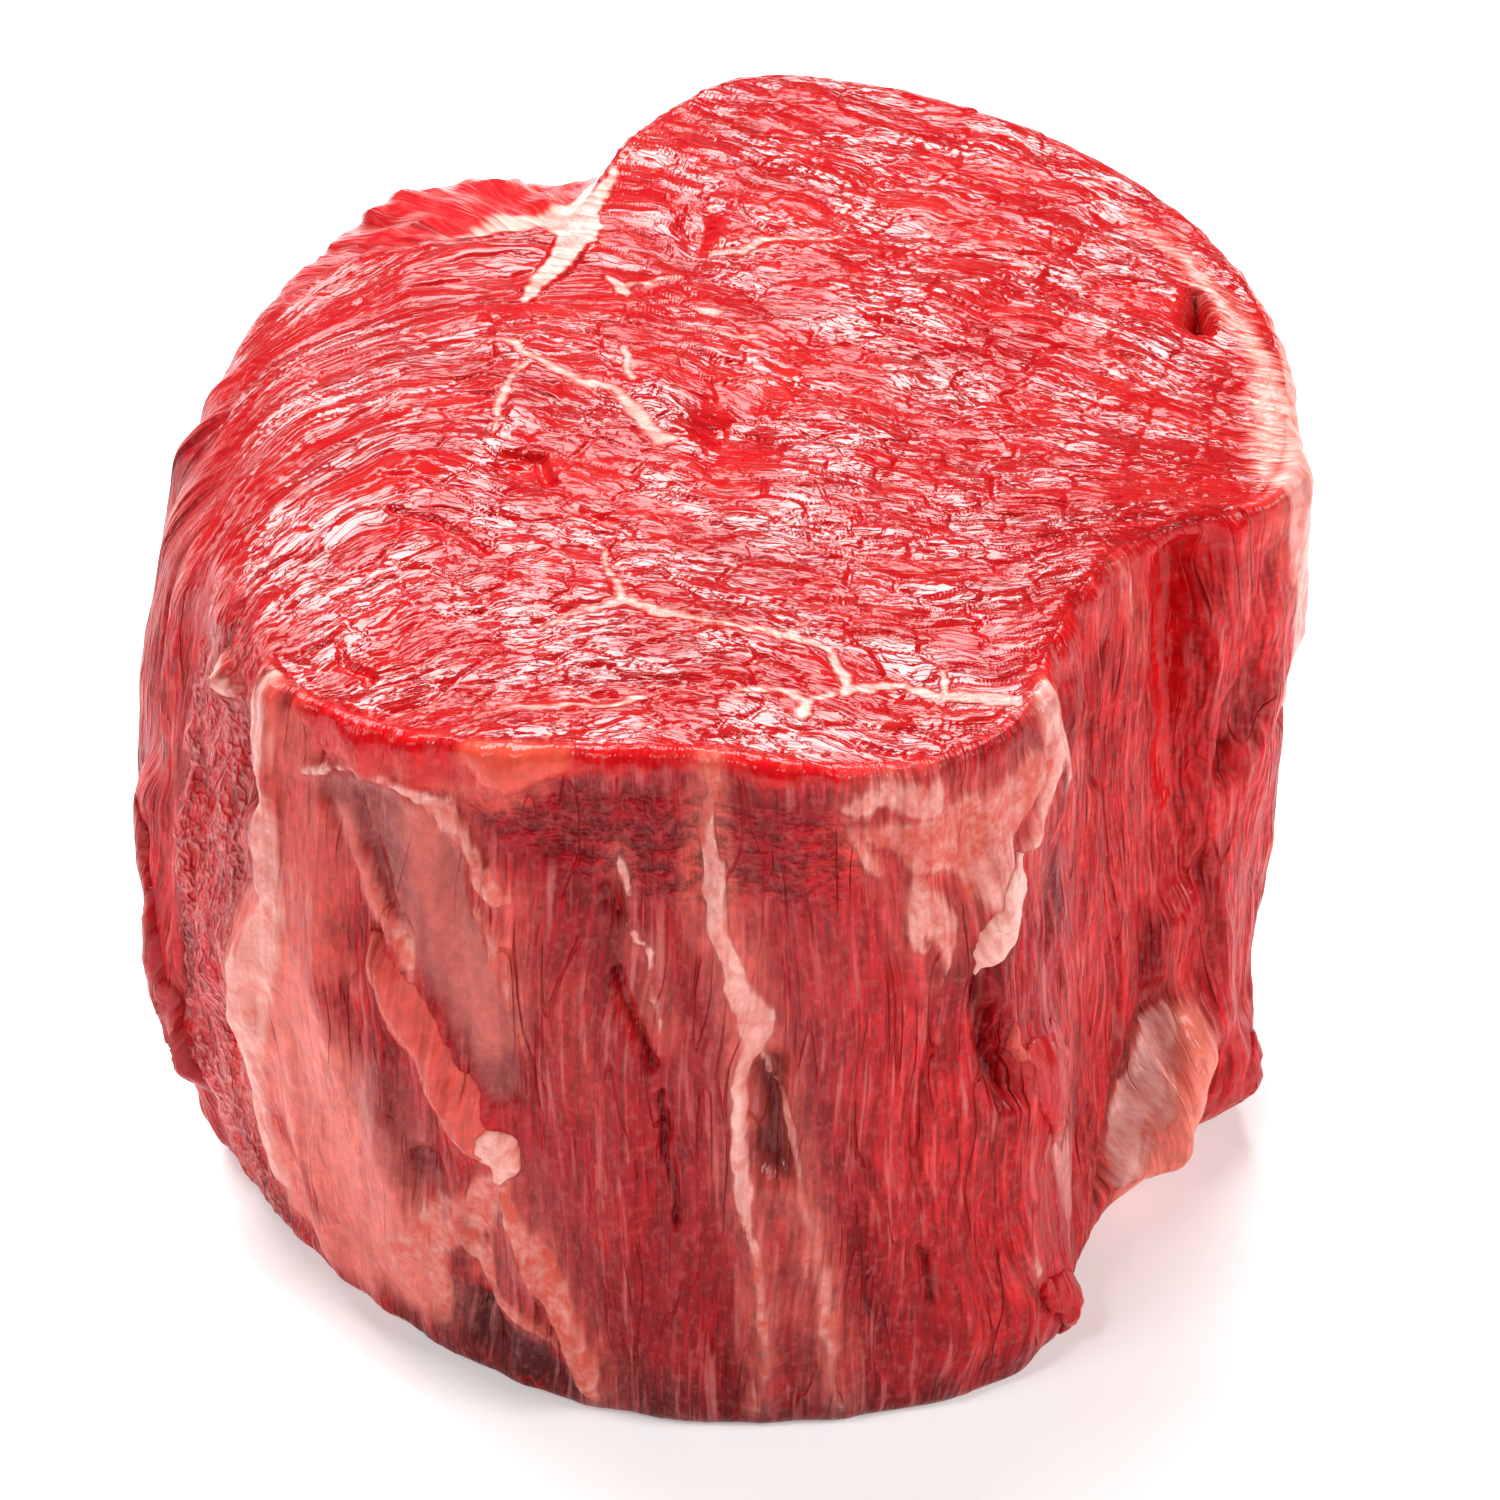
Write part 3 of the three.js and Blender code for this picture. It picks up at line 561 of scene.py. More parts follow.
# Fibre coordinates on the face: along and across, solved so that they follow the flow hints
def fibreFlow(x, y):
    hints = np.array(flowHints, float)
    grid = np.arange(-flowFit["span"], flowFit["span"] + 1.0, flowFit["apart"])
    knots = np.array([(kx, ky) for kx in grid for ky in grid])
    reach = flowFit["reach"]

    def slopes(px, py):
        dx, dy = px[:, None] - knots[:, 0], py[:, None] - knots[:, 1]
        high = np.exp(-(dx**2 + dy**2) / (2 * reach**2))
        return -dx / reach**2 * high, -dy / reach**2 * high

    slopeX, slopeY = slopes(hints[:, 0], hints[:, 1])
    heading = np.radians(hints[:, 2])
    stiff = flowFit["stiff"] * np.eye(len(knots))
    system = np.concatenate([slopeX, slopeY, stiff])
    empty = np.zeros(len(knots))
    coordinates = []
    for baseX, baseY, wantX, wantY in ((1, 0, np.cos(heading), np.sin(heading)),
                                       (0, 1, -np.sin(heading), np.cos(heading))):
        goal = np.concatenate([wantX - baseX, wantY - baseY, empty])
        weights = np.linalg.lstsq(system, goal, rcond=None)[0]
        total = baseX * x + baseY * y
        for (kx, ky), weight in zip(knots, weights):
            total = total + weight * np.exp(-((x - kx) ** 2 + (y - ky) ** 2) / (2 * reach**2))
        coordinates.append(total)
    return coordinates


# Plates of dried surface between cracks: each plate leans its own way. Gives the lean and the
# way to the nearest crack, in shares of a plate.
def plates(u, v, seed):
    rng = np.random.default_rng(seed)
    cells = 64
    draws = rng.random((4, cells, cells))
    cellU, cellV = np.floor(u).astype(int), np.floor(v).astype(int)
    first = np.full(u.shape, 9.0)
    second = np.full(u.shape, 9.0)
    lean = np.zeros(u.shape)
    for du in (-1, 0, 1):
        for dv in (-1, 0, 1):
            i, j = (cellU + du) % cells, (cellV + dv) % cells
            offU = u - (cellU + du + 0.1 + 0.8 * draws[0, i, j])
            offV = v - (cellV + dv + 0.1 + 0.8 * draws[1, i, j])
            away = np.hypot(offU, offV)
            nearest = away < first
            second = np.where(nearest, first, np.minimum(second, away))
            lean = np.where(nearest, offU * (draws[2, i, j] - 0.5) + offV * (draws[3, i, j] - 0.5), lean)
            first = np.where(nearest, away, first)
    return lean, second - first


def linear(hexColour):
    parts = [int(hexColour[i:i + 2], 16) / 255.0 for i in (1, 3, 5)]
    return [p / 12.92 if p <= 0.04045 else ((p + 0.055) / 1.055) ** 2.4 for p in parts] + [1.0]


def mixColours(ground, name, share):
    return ground + (np.array(linear(meatColour[name])[:3]) - ground) * share[..., None]


# What the solid has as well: bundles, clefts and ridges, and the painted shade inside each cleft
def wallForm(angle, z):
    form = np.zeros(angle.shape)
    shade = np.zeros(angle.shape)
    belowRim = smoothStep(*cut["rimFade"], z)
    for half, deep, dark, path in clefts.values():
        near = bell(np.maximum(wallStrand(angle, z, path), 0) / half)
        form = form - deep * near * belowRim
        shade = np.maximum(shade, dark * near**1.5)
    for half, proud, path in ridges.values():
        form = form + proud * bell(np.maximum(wallStrand(angle, z, path), 0) / half)
    for length, high, drift, start in cut["bundleWaves"]:
        laps = round(2 * math.pi * roundRadius / length)
        form = form + high * belowRim * np.sin(laps * np.radians(angle) + drift * z + start)
    return form, shade


# Noise round the wall: its size across and up in millimetres, and its seed
wallNoise = {
    "wanderA": (3.0, 5.0, 1), "wanderAFine": (1.0, 1.6, 2),
    "wanderB": (3.0, 5.0, 3), "wanderBFine": (1.0, 1.6, 4),
    "driftX": (9.0, 16.0, 6), "driftY": (9.0, 16.0, 7),
    "crags": (2.8, 4.5, 10), "broadTone": (7.0, 12.0, 23), "nicks": (1.8, 1.3, 26),
    "crumbs": (2.4, 3.0, 28), "crumbsFine": (0.9, 1.5, 29),
}
fibreNoise = {"cords": (2.6, 26.0, 8), "threads": (1.1, 12.0, 9), "gaps": (1.9, 17.0, 11)}

wallRelief = {
    "cords": 0.5, "threads": 0.34, "crags": 0.14, "slits": 0.55,            # mm
    "crumbs": 0.5, "skinLumps": 0.2, "nicks": 0.3, "sideLumps": 0.9,        # mm
    "slitGaps": (0.36, 0.56),                        # what noise opens a slit between fibres
    "closeFront": (266.0, 27.0),                     # degrees: the middle and spread of close fibres
    "crumbledFrom": (120.0, 150.0), "crumbledTo": (224.0, 217.0),           # degrees
    "nickedFrom": (195.0, 215.0), "nickedTo": (350.0, 335.0),               # degrees
    "nickedDown": (5.0, 1.0),                        # mm below the edge of the face
    # the creased band below the rim, as angle, height and half width
    "creases": [(247, 53.4, 1.4), (258, 52.2, 3.4), (270, 51.6, 4.2), (281, 51.4, 3.2)],
}


def noises(table, px, py, up):
    return {key: latticeNoise(px / wide, py / wide, up / tall, seed)
            for key, (wide, tall, seed) in table.items()}


def plainColour(name, shape):
    return np.broadcast_to(np.array(linear(meatColour[name])[:3]), shape + (3,))


# The wall's relief in millimetres and what its materials read. Below is how far down from the
# edge of the face a place lies, and rough is fine noise that frays every edge.
def dressWall(places, angle, arc, below, isFace, rough):
    x, y, z = places[..., 0], places[..., 1], places[..., 2]
    look = wallRelief
    cx, cy = roundRadius * np.cos(np.radians(angle)), roundRadius * np.sin(np.radians(angle))
    noise = noises(wallNoise, cx, cy, arc)
    crags, broadTone = noise["crags"], noise["broadTone"]

    # wander, so that no drawn feature has an even edge
    wanderA = 0.9 * noise["wanderA"] + 0.35 * noise["wanderAFine"]
    wanderB = 1.2 * noise["wanderB"] + 0.4 * noise["wanderBFine"]
    wallA, wallZ = angle + 0.8 * wanderA, z + 0.6 * wanderB

    # fibres drift as they rise
    driftX, driftY = cx + 1.1 * noise["driftX"], cy + 1.1 * noise["driftY"]
    fibre = noises(fibreNoise, driftX, driftY, arc)
    threads, cords = fibre["threads"], fibre["cords"]

    ground = plainColour("lean", x.shape)
    ground = mixColours(ground, "leanRight", 0.5 * smoothStep(-0.1, 0.5, broadTone + 0.4 * crags))
    ground = mixColours(ground, "maroon", 0.45 * smoothStep(0.1, 0.7, -broadTone + 0.3 * cords))
    skin = np.zeros(x.shape)
    fold = np.zeros(x.shape)
    for colour, soft, share, smooth, high, path in wallColours.values():
        away = wallStrand(wallA, wallZ, path) + 0.35 * soft * (threads + 0.6 * crags) + 0.2 * rough
        cover = smoothStep(soft, -0.5 * soft, away)
        ground = mixColours(ground, colour, share * cover)
        skin = skin + (smooth - skin) * cover * share
        fold = fold + high * cover

    fatAway = np.full(x.shape, 9.0)
    fatHigh = np.zeros(x.shape)
    fat = np.zeros(x.shape)
    warm = np.full(x.shape, 0.5)
    for high, tint, fray, sharp, most, path in wallFat.values():
        away = wallStrand(wallA, wallZ, path) + 0.5 * rough + 0.3 * fray * (threads + 0.5 * crags)
        warm = np.where(away < fatAway, tint, warm)
        fatHigh = np.maximum(fatHigh, high * smoothStep(0.3, -0.5, away))
        fat = np.maximum(fat, np.minimum(0.5 - away * sharp, most))
        fatAway = np.minimum(fatAway, away)
    onFat = smoothStep(0.3, -0.4, fatAway)
    ground = mixColours(ground, "salmon", 0.25 * smoothStep(2.0, 0.0, fatAway + 0.8 * threads))

    # fibres stand out where the wall is bare, and lie close at the front
    form, shade = wallForm(wallA, wallZ)
    calm = np.maximum(onFat, 0.85 * skin)
    middle, spread = look["closeFront"]
    front = bell(turn(middle, angle) / spread)
    slits = smoothStep(*look["slitGaps"], fibre["gaps"]) * (1 - front)
    fibres = (look["cords"] * (np.abs(cords) - 0.25) + look["threads"] * (np.abs(threads) - 0.25)
              + look["crags"] * crags - look["slits"] * slits)
    rim = smoothStep(0.0, net["fadeRim"], below * (1 - isFace))
    tame = (1 - 0.85 * calm) * (0.1 + 0.9 * rim) * (1 - 0.4 * front)
    crumbled = smoothStep(*look["crumbledTo"], angle) * smoothStep(*look["crumbledFrom"], angle) * (1 - calm)
    relief = form + fold + fibres * tame * (1 - 0.6 * crumbled) + fatHigh * (0.75 + 0.5 * threads)
    crumbs = noise["crumbs"] + 0.6 * noise["crumbsFine"]
    relief = relief + look["crumbs"] * crumbled * rim * crumbs
    relief = relief + look["skinLumps"] * calm * latticeNoise(x / 1.9, y / 1.9, z / 2.6, 12)
    nicked = smoothStep(*look["nickedDown"], below) * (1 - isFace)
    nicked = nicked * smoothStep(*look["nickedFrom"], angle) * smoothStep(*look["nickedTo"], angle)
    relief = relief + look["nicks"] * nicked * noise["nicks"]

    # the side muscle at the back left is wet and lumpy
    side = cut["sideMuscle"]
    outside = np.hypot(x, y) - outlineRadius(faceOutline, angle) + 1.0
    onSide = bell(turn(side["angle"], angle) / side["spread"]) * smoothStep(0.5, 3.0, outside)
    onSide = onSide * smoothStep(40.0, 50.0, z)
    lumpy = latticeNoise(x / 4.0, y / 4.0, z / 4.0, 25) + 0.6 * latticeNoise(x / 1.7, y / 1.7, z / 1.7, 27)
    relief = relief * (1 - 0.8 * onSide) + look["sideLumps"] * onSide * lumpy
    ground = mixColours(ground, "leanRight", 0.8 * onSide * (1 - onFat))
    # painted shade: the shadow colour darkens the clefts and the slits between fibres
    ground = mixColours(ground, "shadow", clamp01(0.8 * shade + 0.4 * slits * (1 - calm)))
    sideAway = strandDistance(x, y, notchFat) + 0.5 * rough
    return {
        "relief": relief, "ground": ground,
        "fat": np.maximum(fat, smoothStep(52.0, 56.0, z) * (0.6 - sideAway / 1.5)),
        "warm": np.where((sideAway < 1.0) & (z > 52.0), 0.05, warm),
        "skin": np.maximum(skin, 0.8 * onSide),
        "creased": smoothStep(1.5, -1.5, wallStrand(wallA, wallZ, look["creases"]) + 0.8 * crags),
        "crumbled": crumbled,
        "grain": np.stack([driftX, driftY, arc], axis=-1),
    }


# Noise of the face along and across its fibres: its sizes in millimetres, its slice and its seed
faceNoise = {
    "rolls": (13.0, 6.0, 0.5, 18), "slabs": (6.5, 2.3, 1.5, 19), "flakes": (3.4, 1.0, 2.5, 20),
    "tone": (9.0, 4.0, 5.5, 24),
}
# What bends the fibres and the edges of the drawn features: size in millimetres, slice and seed
bendNoise = {
    "along": (6.0, 0.5, 13), "across": (5.0, 2.5, 14), "acrossFine": (2.0, 4.5, 15),
    "edgeX": (2.2, 6.5, 16), "edgeY": (2.2, 8.5, 17),
}
faceRelief = {
    "rolls": 0.35, "slabs": 0.14, "plates": 0.25, "cracks": 0.1, "flakes": 0.06,   # mm
    "plate": (4.2, 1.5), "plateSeed": 31,            # mm along and across
}


# The same for the face, whose grain is carried on over the shoulder as if the wall were rolled flat
def dressFace(flatX, flatY, rough):
    look = faceRelief
    bend = {key: latticeNoise(flatX / size, flatY / size, at, seed)
            for key, (size, at, seed) in bendNoise.items()}
    along, across = fibreFlow(flatX, flatY)
    along = along + 1.0 * bend["along"]
    across = across + 0.6 * bend["across"] + 0.22 * bend["acrossFine"]
    faceX, faceY = flatX + 0.35 * bend["edgeX"], flatY + 0.35 * bend["edgeY"]
    noise = {key: latticeNoise(along / long, across / wide, at, seed)
             for key, (long, wide, at, seed) in faceNoise.items()}
    flakes = noise["flakes"]

    fatAway = np.full(flatX.shape, 9.0)
    fat = np.zeros(flatX.shape)
    warm = np.full(flatX.shape, 0.3)
    for tint, soft, path in faceFat.values():
        away = strandDistance(faceX, faceY, path) + 0.35 * rough + 0.12 * flakes
        warm = np.where(away < fatAway, tint, warm)
        fatAway = np.minimum(fatAway, away)
        fat = np.maximum(fat, 0.5 - (away - 0.15) / soft)

    pits = np.zeros(flatX.shape)
    shade = np.zeros(flatX.shape)
    for (atX, atY), (halfX, halfY), deep, dark in facePits.values():
        near = bell(np.hypot((faceX - atX) / halfX, (faceY - atY) / halfY))
        pits = pits - deep * near
        shade = np.maximum(shade, dark * near**1.5)
    for deep, path in faceTears.values():
        near = smoothStep(0.35, -0.2, strandDistance(faceX, faceY, path))
        pits = pits - deep * near
        shade = np.maximum(shade, 0.8 * near)

    plateLong, plateWide = look["plate"]
    lean, crack = plates(along / plateLong + 7.0, across / plateWide + 7.0, look["plateSeed"])
    relief = look["rolls"] * noise["rolls"] + look["slabs"] * noise["slabs"] + look["plates"] * lean
    relief = relief - look["cracks"] * smoothStep(0.16, 0.02, crack) + look["flakes"] * np.tanh(3.0 * flakes)
    for atX, atY, halfX, halfY, high in faceSwells:
        relief = relief + high * bell(np.hypot((flatX - atX) / halfX, (flatY - atY) / halfY))
    relief = relief * (1 - 0.5 * smoothStep(0.6, 0.0, fatAway)) + pits

    ground = plainColour("face", flatX.shape)
    tone = noise["tone"] + 0.6 * flakes
    ground = mixColours(ground, "facePale", 0.55 * smoothStep(0.0, 0.8, tone))
    ground = mixColours(ground, "faceDeep", 0.55 * smoothStep(0.0, 0.8, -tone))
    ground = mixColours(ground, "groove", 0.7 * clamp01(shade))
    dull = np.zeros(flatX.shape)
    for atX, atY, halfX, halfY, change in faceDull:
        dull = dull + change * bell(np.hypot((flatX - atX) / halfX, (flatY - atY) / halfY))
    return {"relief": relief, "ground": ground, "fat": fat, "warm": warm, "dull": dull,
            "grain": np.stack([along, across, np.zeros(flatX.shape)], axis=-1)}


def buildFillet():
    angles = columnAngles()
    places, arc, edgeTurn, toEdge = surfaceNet(angles)
    normals = outward(places)
    x, y, z = places[..., 0], places[..., 1], places[..., 2]
    angle = np.broadcast_to(angles, x.shape)
    cosA, sinA = np.cos(np.radians(angle)), np.sin(np.radians(angle))
    lastWall = net["wallRows"]
    isFace = np.zeros(x.shape)
    isFace[lastWall + 1:] = 1.0
    below = np.maximum(toEdge, 0.0)
    rough = 0.45 * latticeNoise(x / 0.9, y / 0.9, z / 1.2, 5)
    flatR = np.maximum(np.hypot(x[lastWall], y[lastWall])[None, :] + toEdge, 0)
    wall = dressWall(places, angle, arc, below, isFace, rough)
    face = dressFace(flatR * cosA, flatR * sinA, rough)

    # how much a place shows the face's grain: all on top, fading over the rounded left shoulder
    broad = smoothStep(2.0, 6.0, edgeRadius(angle))
    overEdge = smoothStep(0.75, 1.3, edgeTurn)
    ragged = latticeNoise(roundRadius * cosA / 5, roundRadius * sinA / 5, arc / 5, 22)
    onFace = overEdge * (1 - broad) + broad * smoothStep(12.0, 5.0, below + 1.5 * ragged)

    relief = face["relief"] * onFace + wall["relief"] * (1 - onFace)
    relief = relief * (0.15 + 0.85 * smoothStep(0.0, 5.0, z))   # little at the foot, which stands flat
    shaped = places + normals * relief[..., None]
    shaped[..., 2] = np.maximum(shaped[..., 2], 0.0)
    shaped[0, :, 2] = 0.0
    shaped[-1] = shaped[-1].mean(axis=0)
    shaped[..., 0] += cut["shift"][0]
    shaped[..., 1] += cut["shift"][1]

    top = onFace[..., None]
    ground = face["ground"] * top + wall["ground"] * (1 - top)
    layers = {
        "ground": np.concatenate([ground, np.ones(x.shape + (1,))], axis=-1),
        "fat": clamp01(np.where(onFace > 0.5, face["fat"], wall["fat"])),
        "warm": np.where(onFace > 0.5, face["warm"], wall["warm"]),
        "skin": wall["skin"] * (1 - onFace),
        "onFace": onFace,
        "dull": face["dull"] * onFace,
        "creased": wall["creased"] * (1 - onFace),
        "crumbled": wall["crumbled"] * (1 - onFace),
        "grainFace": face["grain"],
        "grainWall": wall["grain"],
    }
    return shaped, outward(shaped), layers


# Faces between rings. The face's rings halve their columns as they shrink.
def ringFaces(first, last, columns):
    faces = []
    step = 1
    for ring in range(first, last):
        share = 1.0 - (ring - net["wallRows"]) / net["faceRings"]
        nextStep = 1
        for limit in net["halvings"]:
            if share <= limit:
                nextStep *= 2
        here = ring * columns + np.arange(0, columns, step)
        there = (ring + 1) * columns + np.arange(0, columns, nextStep)
        nextHere, nextThere = np.roll(here, -1), np.roll(there, -1)
        if ring + 1 == net["wallRows"] + net["faceRings"]:
            centre = (ring + 1) * columns
            faces += [(a, b, centre) for a, b in zip(here.tolist(), nextHere.tolist())]
        elif nextStep == step:
            faces += list(zip(here.tolist(), nextHere.tolist(), nextThere.tolist(), there.tolist()))
        else:
            a, m, b = here[0::2].tolist(), here[1::2].tolist(), np.roll(here[0::2], -1).tolist()
            for k, (c, d) in enumerate(zip(nextThere.tolist(), there.tolist())):
                faces += [(a[k], m[k], d), (m[k], c, d), (m[k], b[k], c)]
        step = nextStep
    return faces


# A smooth mesh that carries values at its points for the materials: numbers, vectors or colours
def newMesh(name, points, faces, marks):
    mesh = bpy.data.meshes.new(name)
    mesh.from_pydata((points * mm).tolist(), [], faces)
    mesh.polygons.foreach_set("use_smooth", np.ones(len(mesh.polygons), bool))
    kinds = {1: ("FLOAT", "value"), 3: ("FLOAT_VECTOR", "vector"), 4: ("FLOAT_COLOR", "color")}
    for key, values in marks.items():
        kind, field = kinds[values.size // len(points)]
        layer = mesh.attributes.new(key, kind, "POINT")
        layer.data.foreach_set(field, values.astype(np.float32).ravel())
    return mesh


def placeMesh(name, mesh):
    piece = bpy.data.objects.new(name, mesh)
    bpy.context.scene.collection.objects.link(piece)
    return piece


hiddenGround = (0.25, 0.008, 0.01, 1.0)   # linear colour of the lids, which are out of sight


# A closed body between two rings of the net, with a tucked floor or lid where it meets the other
def makePart(name, shaped, normals, layers, first, last, lids):
    columns = shaped.shape[1]
    faces = ringFaces(first, last, columns)
    points = shaped.reshape(-1, 3)
    aims = normals.reshape(-1, 3)
    for ring, inward, drop, facing in lids:
        edge = ring * columns + np.arange(columns)
        shrink = 1 - inward / roundRadius
        lid = points[edge] * (shrink, shrink, 1.0) + (0.0, 0.0, drop)
        inner = len(points) + np.arange(columns)
        centre = len(points) + columns
        points = np.concatenate([points, lid, lid.mean(axis=0, keepdims=True)])
        aims = np.concatenate([aims, np.tile((0.0, 0.0, facing), (columns + 1, 1))])
        corners = np.stack([edge, np.roll(edge, -1), np.roll(inner, -1), inner], axis=1)
        for a, b, c, d in corners.tolist():
            faces += [(a, b, c, d), (d, c, centre)] if facing > 0 else [(d, c, b, a), (centre, c, d)]
    used = np.unique(np.concatenate([np.array(f) for f in faces]))
    index = np.full(len(points), -1)
    index[used] = np.arange(len(used))
    shown = shaped.shape[0] * columns
    marks = {}
    for key, values in layers.items():
        flat = values.reshape(shown, -1)
        spare = hiddenGround if key == "ground" else np.zeros(flat.shape[1])
        marks[key] = np.concatenate([flat, np.tile(spare, (len(points) - shown, 1))])[used]
    mesh = newMesh(name, points[used], [index[list(f)].tolist() for f in faces], marks)
    mesh.normals_split_custom_set_from_vertices(aims[used].tolist())
    print(name, "has", sum(len(p.vertices) - 2 for p in mesh.polygons), "triangles")
    return placeMesh(name, mesh)


# Materials

# A node with its settings, and its links from sockets, or from a node's first output
def addNode(tree, kind, values=None, links=None, **settings):
    node = tree.nodes.new(kind)
    for key, value in settings.items():
        setattr(node, key, value)
    for key, value in (values or {}).items():
        node.inputs[key].default_value = value
    for key, source in (links or {}).items():
        tree.links.new(source.outputs[0] if hasattr(source, "outputs") else source, node.inputs[key])
    return node


# An empty material, and addNode for its tree
def newMaterial(name):
    material = bpy.data.materials.new(name)
    material.use_nodes = True
    material.node_tree.nodes.clear()
    return material, functools.partial(addNode, material.node_tree)


rawBeef = {
    # painted shade: the darker red of the cracks and slits
    "crack": "#9a060a",
    # pale thread colour: the face's connective tissue, and on the wall painted highlight on fibre crests and
    # crumbs
    "thread": "#d87a74",
    "creamFat": "#ecb0a6",
    "salmonFat": "#c9503f",
    # grain: which coordinates it follows, its size in mm along them, detail and roughness
    "grains": {
        "faceFlake": ("grainFace", (2.4, 0.5, 1.0), 1.5, 0.5),
        "facePatch": ("grainFace", (9.0, 4.0, 1.0), 1.0, 0.5),
        "faceCrack": ("grainFace", (3.4, 0.8, 1.0), 2.0, 0.6),
        "wallFine": ("grainWall", (0.4, 0.4, 3.6), 1.0, 0.65),
        "wallCross": ("grainWall", (1.5, 1.5, 0.8), 2.0, 0.65),
        "wallCrumb": ("grainWall", (0.5, 0.5, 0.8), 1.0, 0.7),
        "wallThread": ("grainWall", (0.7, 0.7, 13.0), 2.0, 0.6),
        "wallLine": ("grainWall", (2.4, 2.4, 20.0), 1.0, 0.5),
        "wallPatch": ("grainWall", (4.0, 4.0, 9.0), 1.0, 0.6),
        "lumps": ("grainWall", (0.9, 0.9, 1.2), 2.0, 0.65),
    },
    # plates on the face: size along and across and how far they lean, in mm
    "plates": {"slab": (6.0, 2.0, 0.36), "coarse": (2.8, 0.66, 0.17), "fine": (1.4, 0.34, 0.08)},
    # thin lines where a grain crosses its middle: half widths of the core and of the whole line
    "lines": {"faceCrack": (0.006, 0.024), "wallLine": (0.002, 0.012)},
    # what a grain or a mark gives: the span that is read, and the values at its ends
    "ranges": {
        "crackHere": ("facePatch", 0.4, 0.6, 0.35, 0.9),
        "lineHere": ("wallPatch", 0.46, 0.6, 0.0, 1.0),
        # painted highlight: pale specks on the wall's crumbs and pale lines on its fibre crests
        "crumbHighlight": ("wallCrumb", 0.5, 0.66, 0.0, 0.6),
        "fibreHighlight": ("wallThread", 0.56, 0.7, 0.0, 0.45),
        "threadFace": ("faceFlake", 0.55, 0.8, 0.0, 0.08),
        "crumbHere": ("crumbled", 0.0, 1.0, 0.2, 1.0),
        "toneMottle": ("lumps", 0.35, 0.65, 0.87, 1.12),
        # painted light and shade: lighter on the crease ridges, darker in their hollows
        "creaseToneAndShade": ("wallCross", 0.4, 0.62, 0.7, 1.6),
        "calmSkin": ("skin", 0.0, 1.0, 1.0, 0.2),
        "roughWall": ("skin", 0.0, 1.0, 0.4, 0.3),
        "filmLeft": ("dull", 0.0, 0.2, 1.0, 0.15),
        "filmHere": ("facePatch", 0.42, 0.58, 0.4, 1.0),
        "filmSkin": ("skin", 0.0, 1.0, 0.14, 0.36),
    },
    # heights in mm
    "heights": {"flakes": 0.05, "faceCrack": -0.07, "wallFine": 0.32, "wallThread": 0.3, "wallLine": -0.2,
                "crumbs": 0.8, "creases": 0.5, "lumps": 0.12, "fatLumps": 0.15},
    "roughFace": 0.3,
    "filmCrumbled": 0.15,
    "filmFat": 0.3,
}


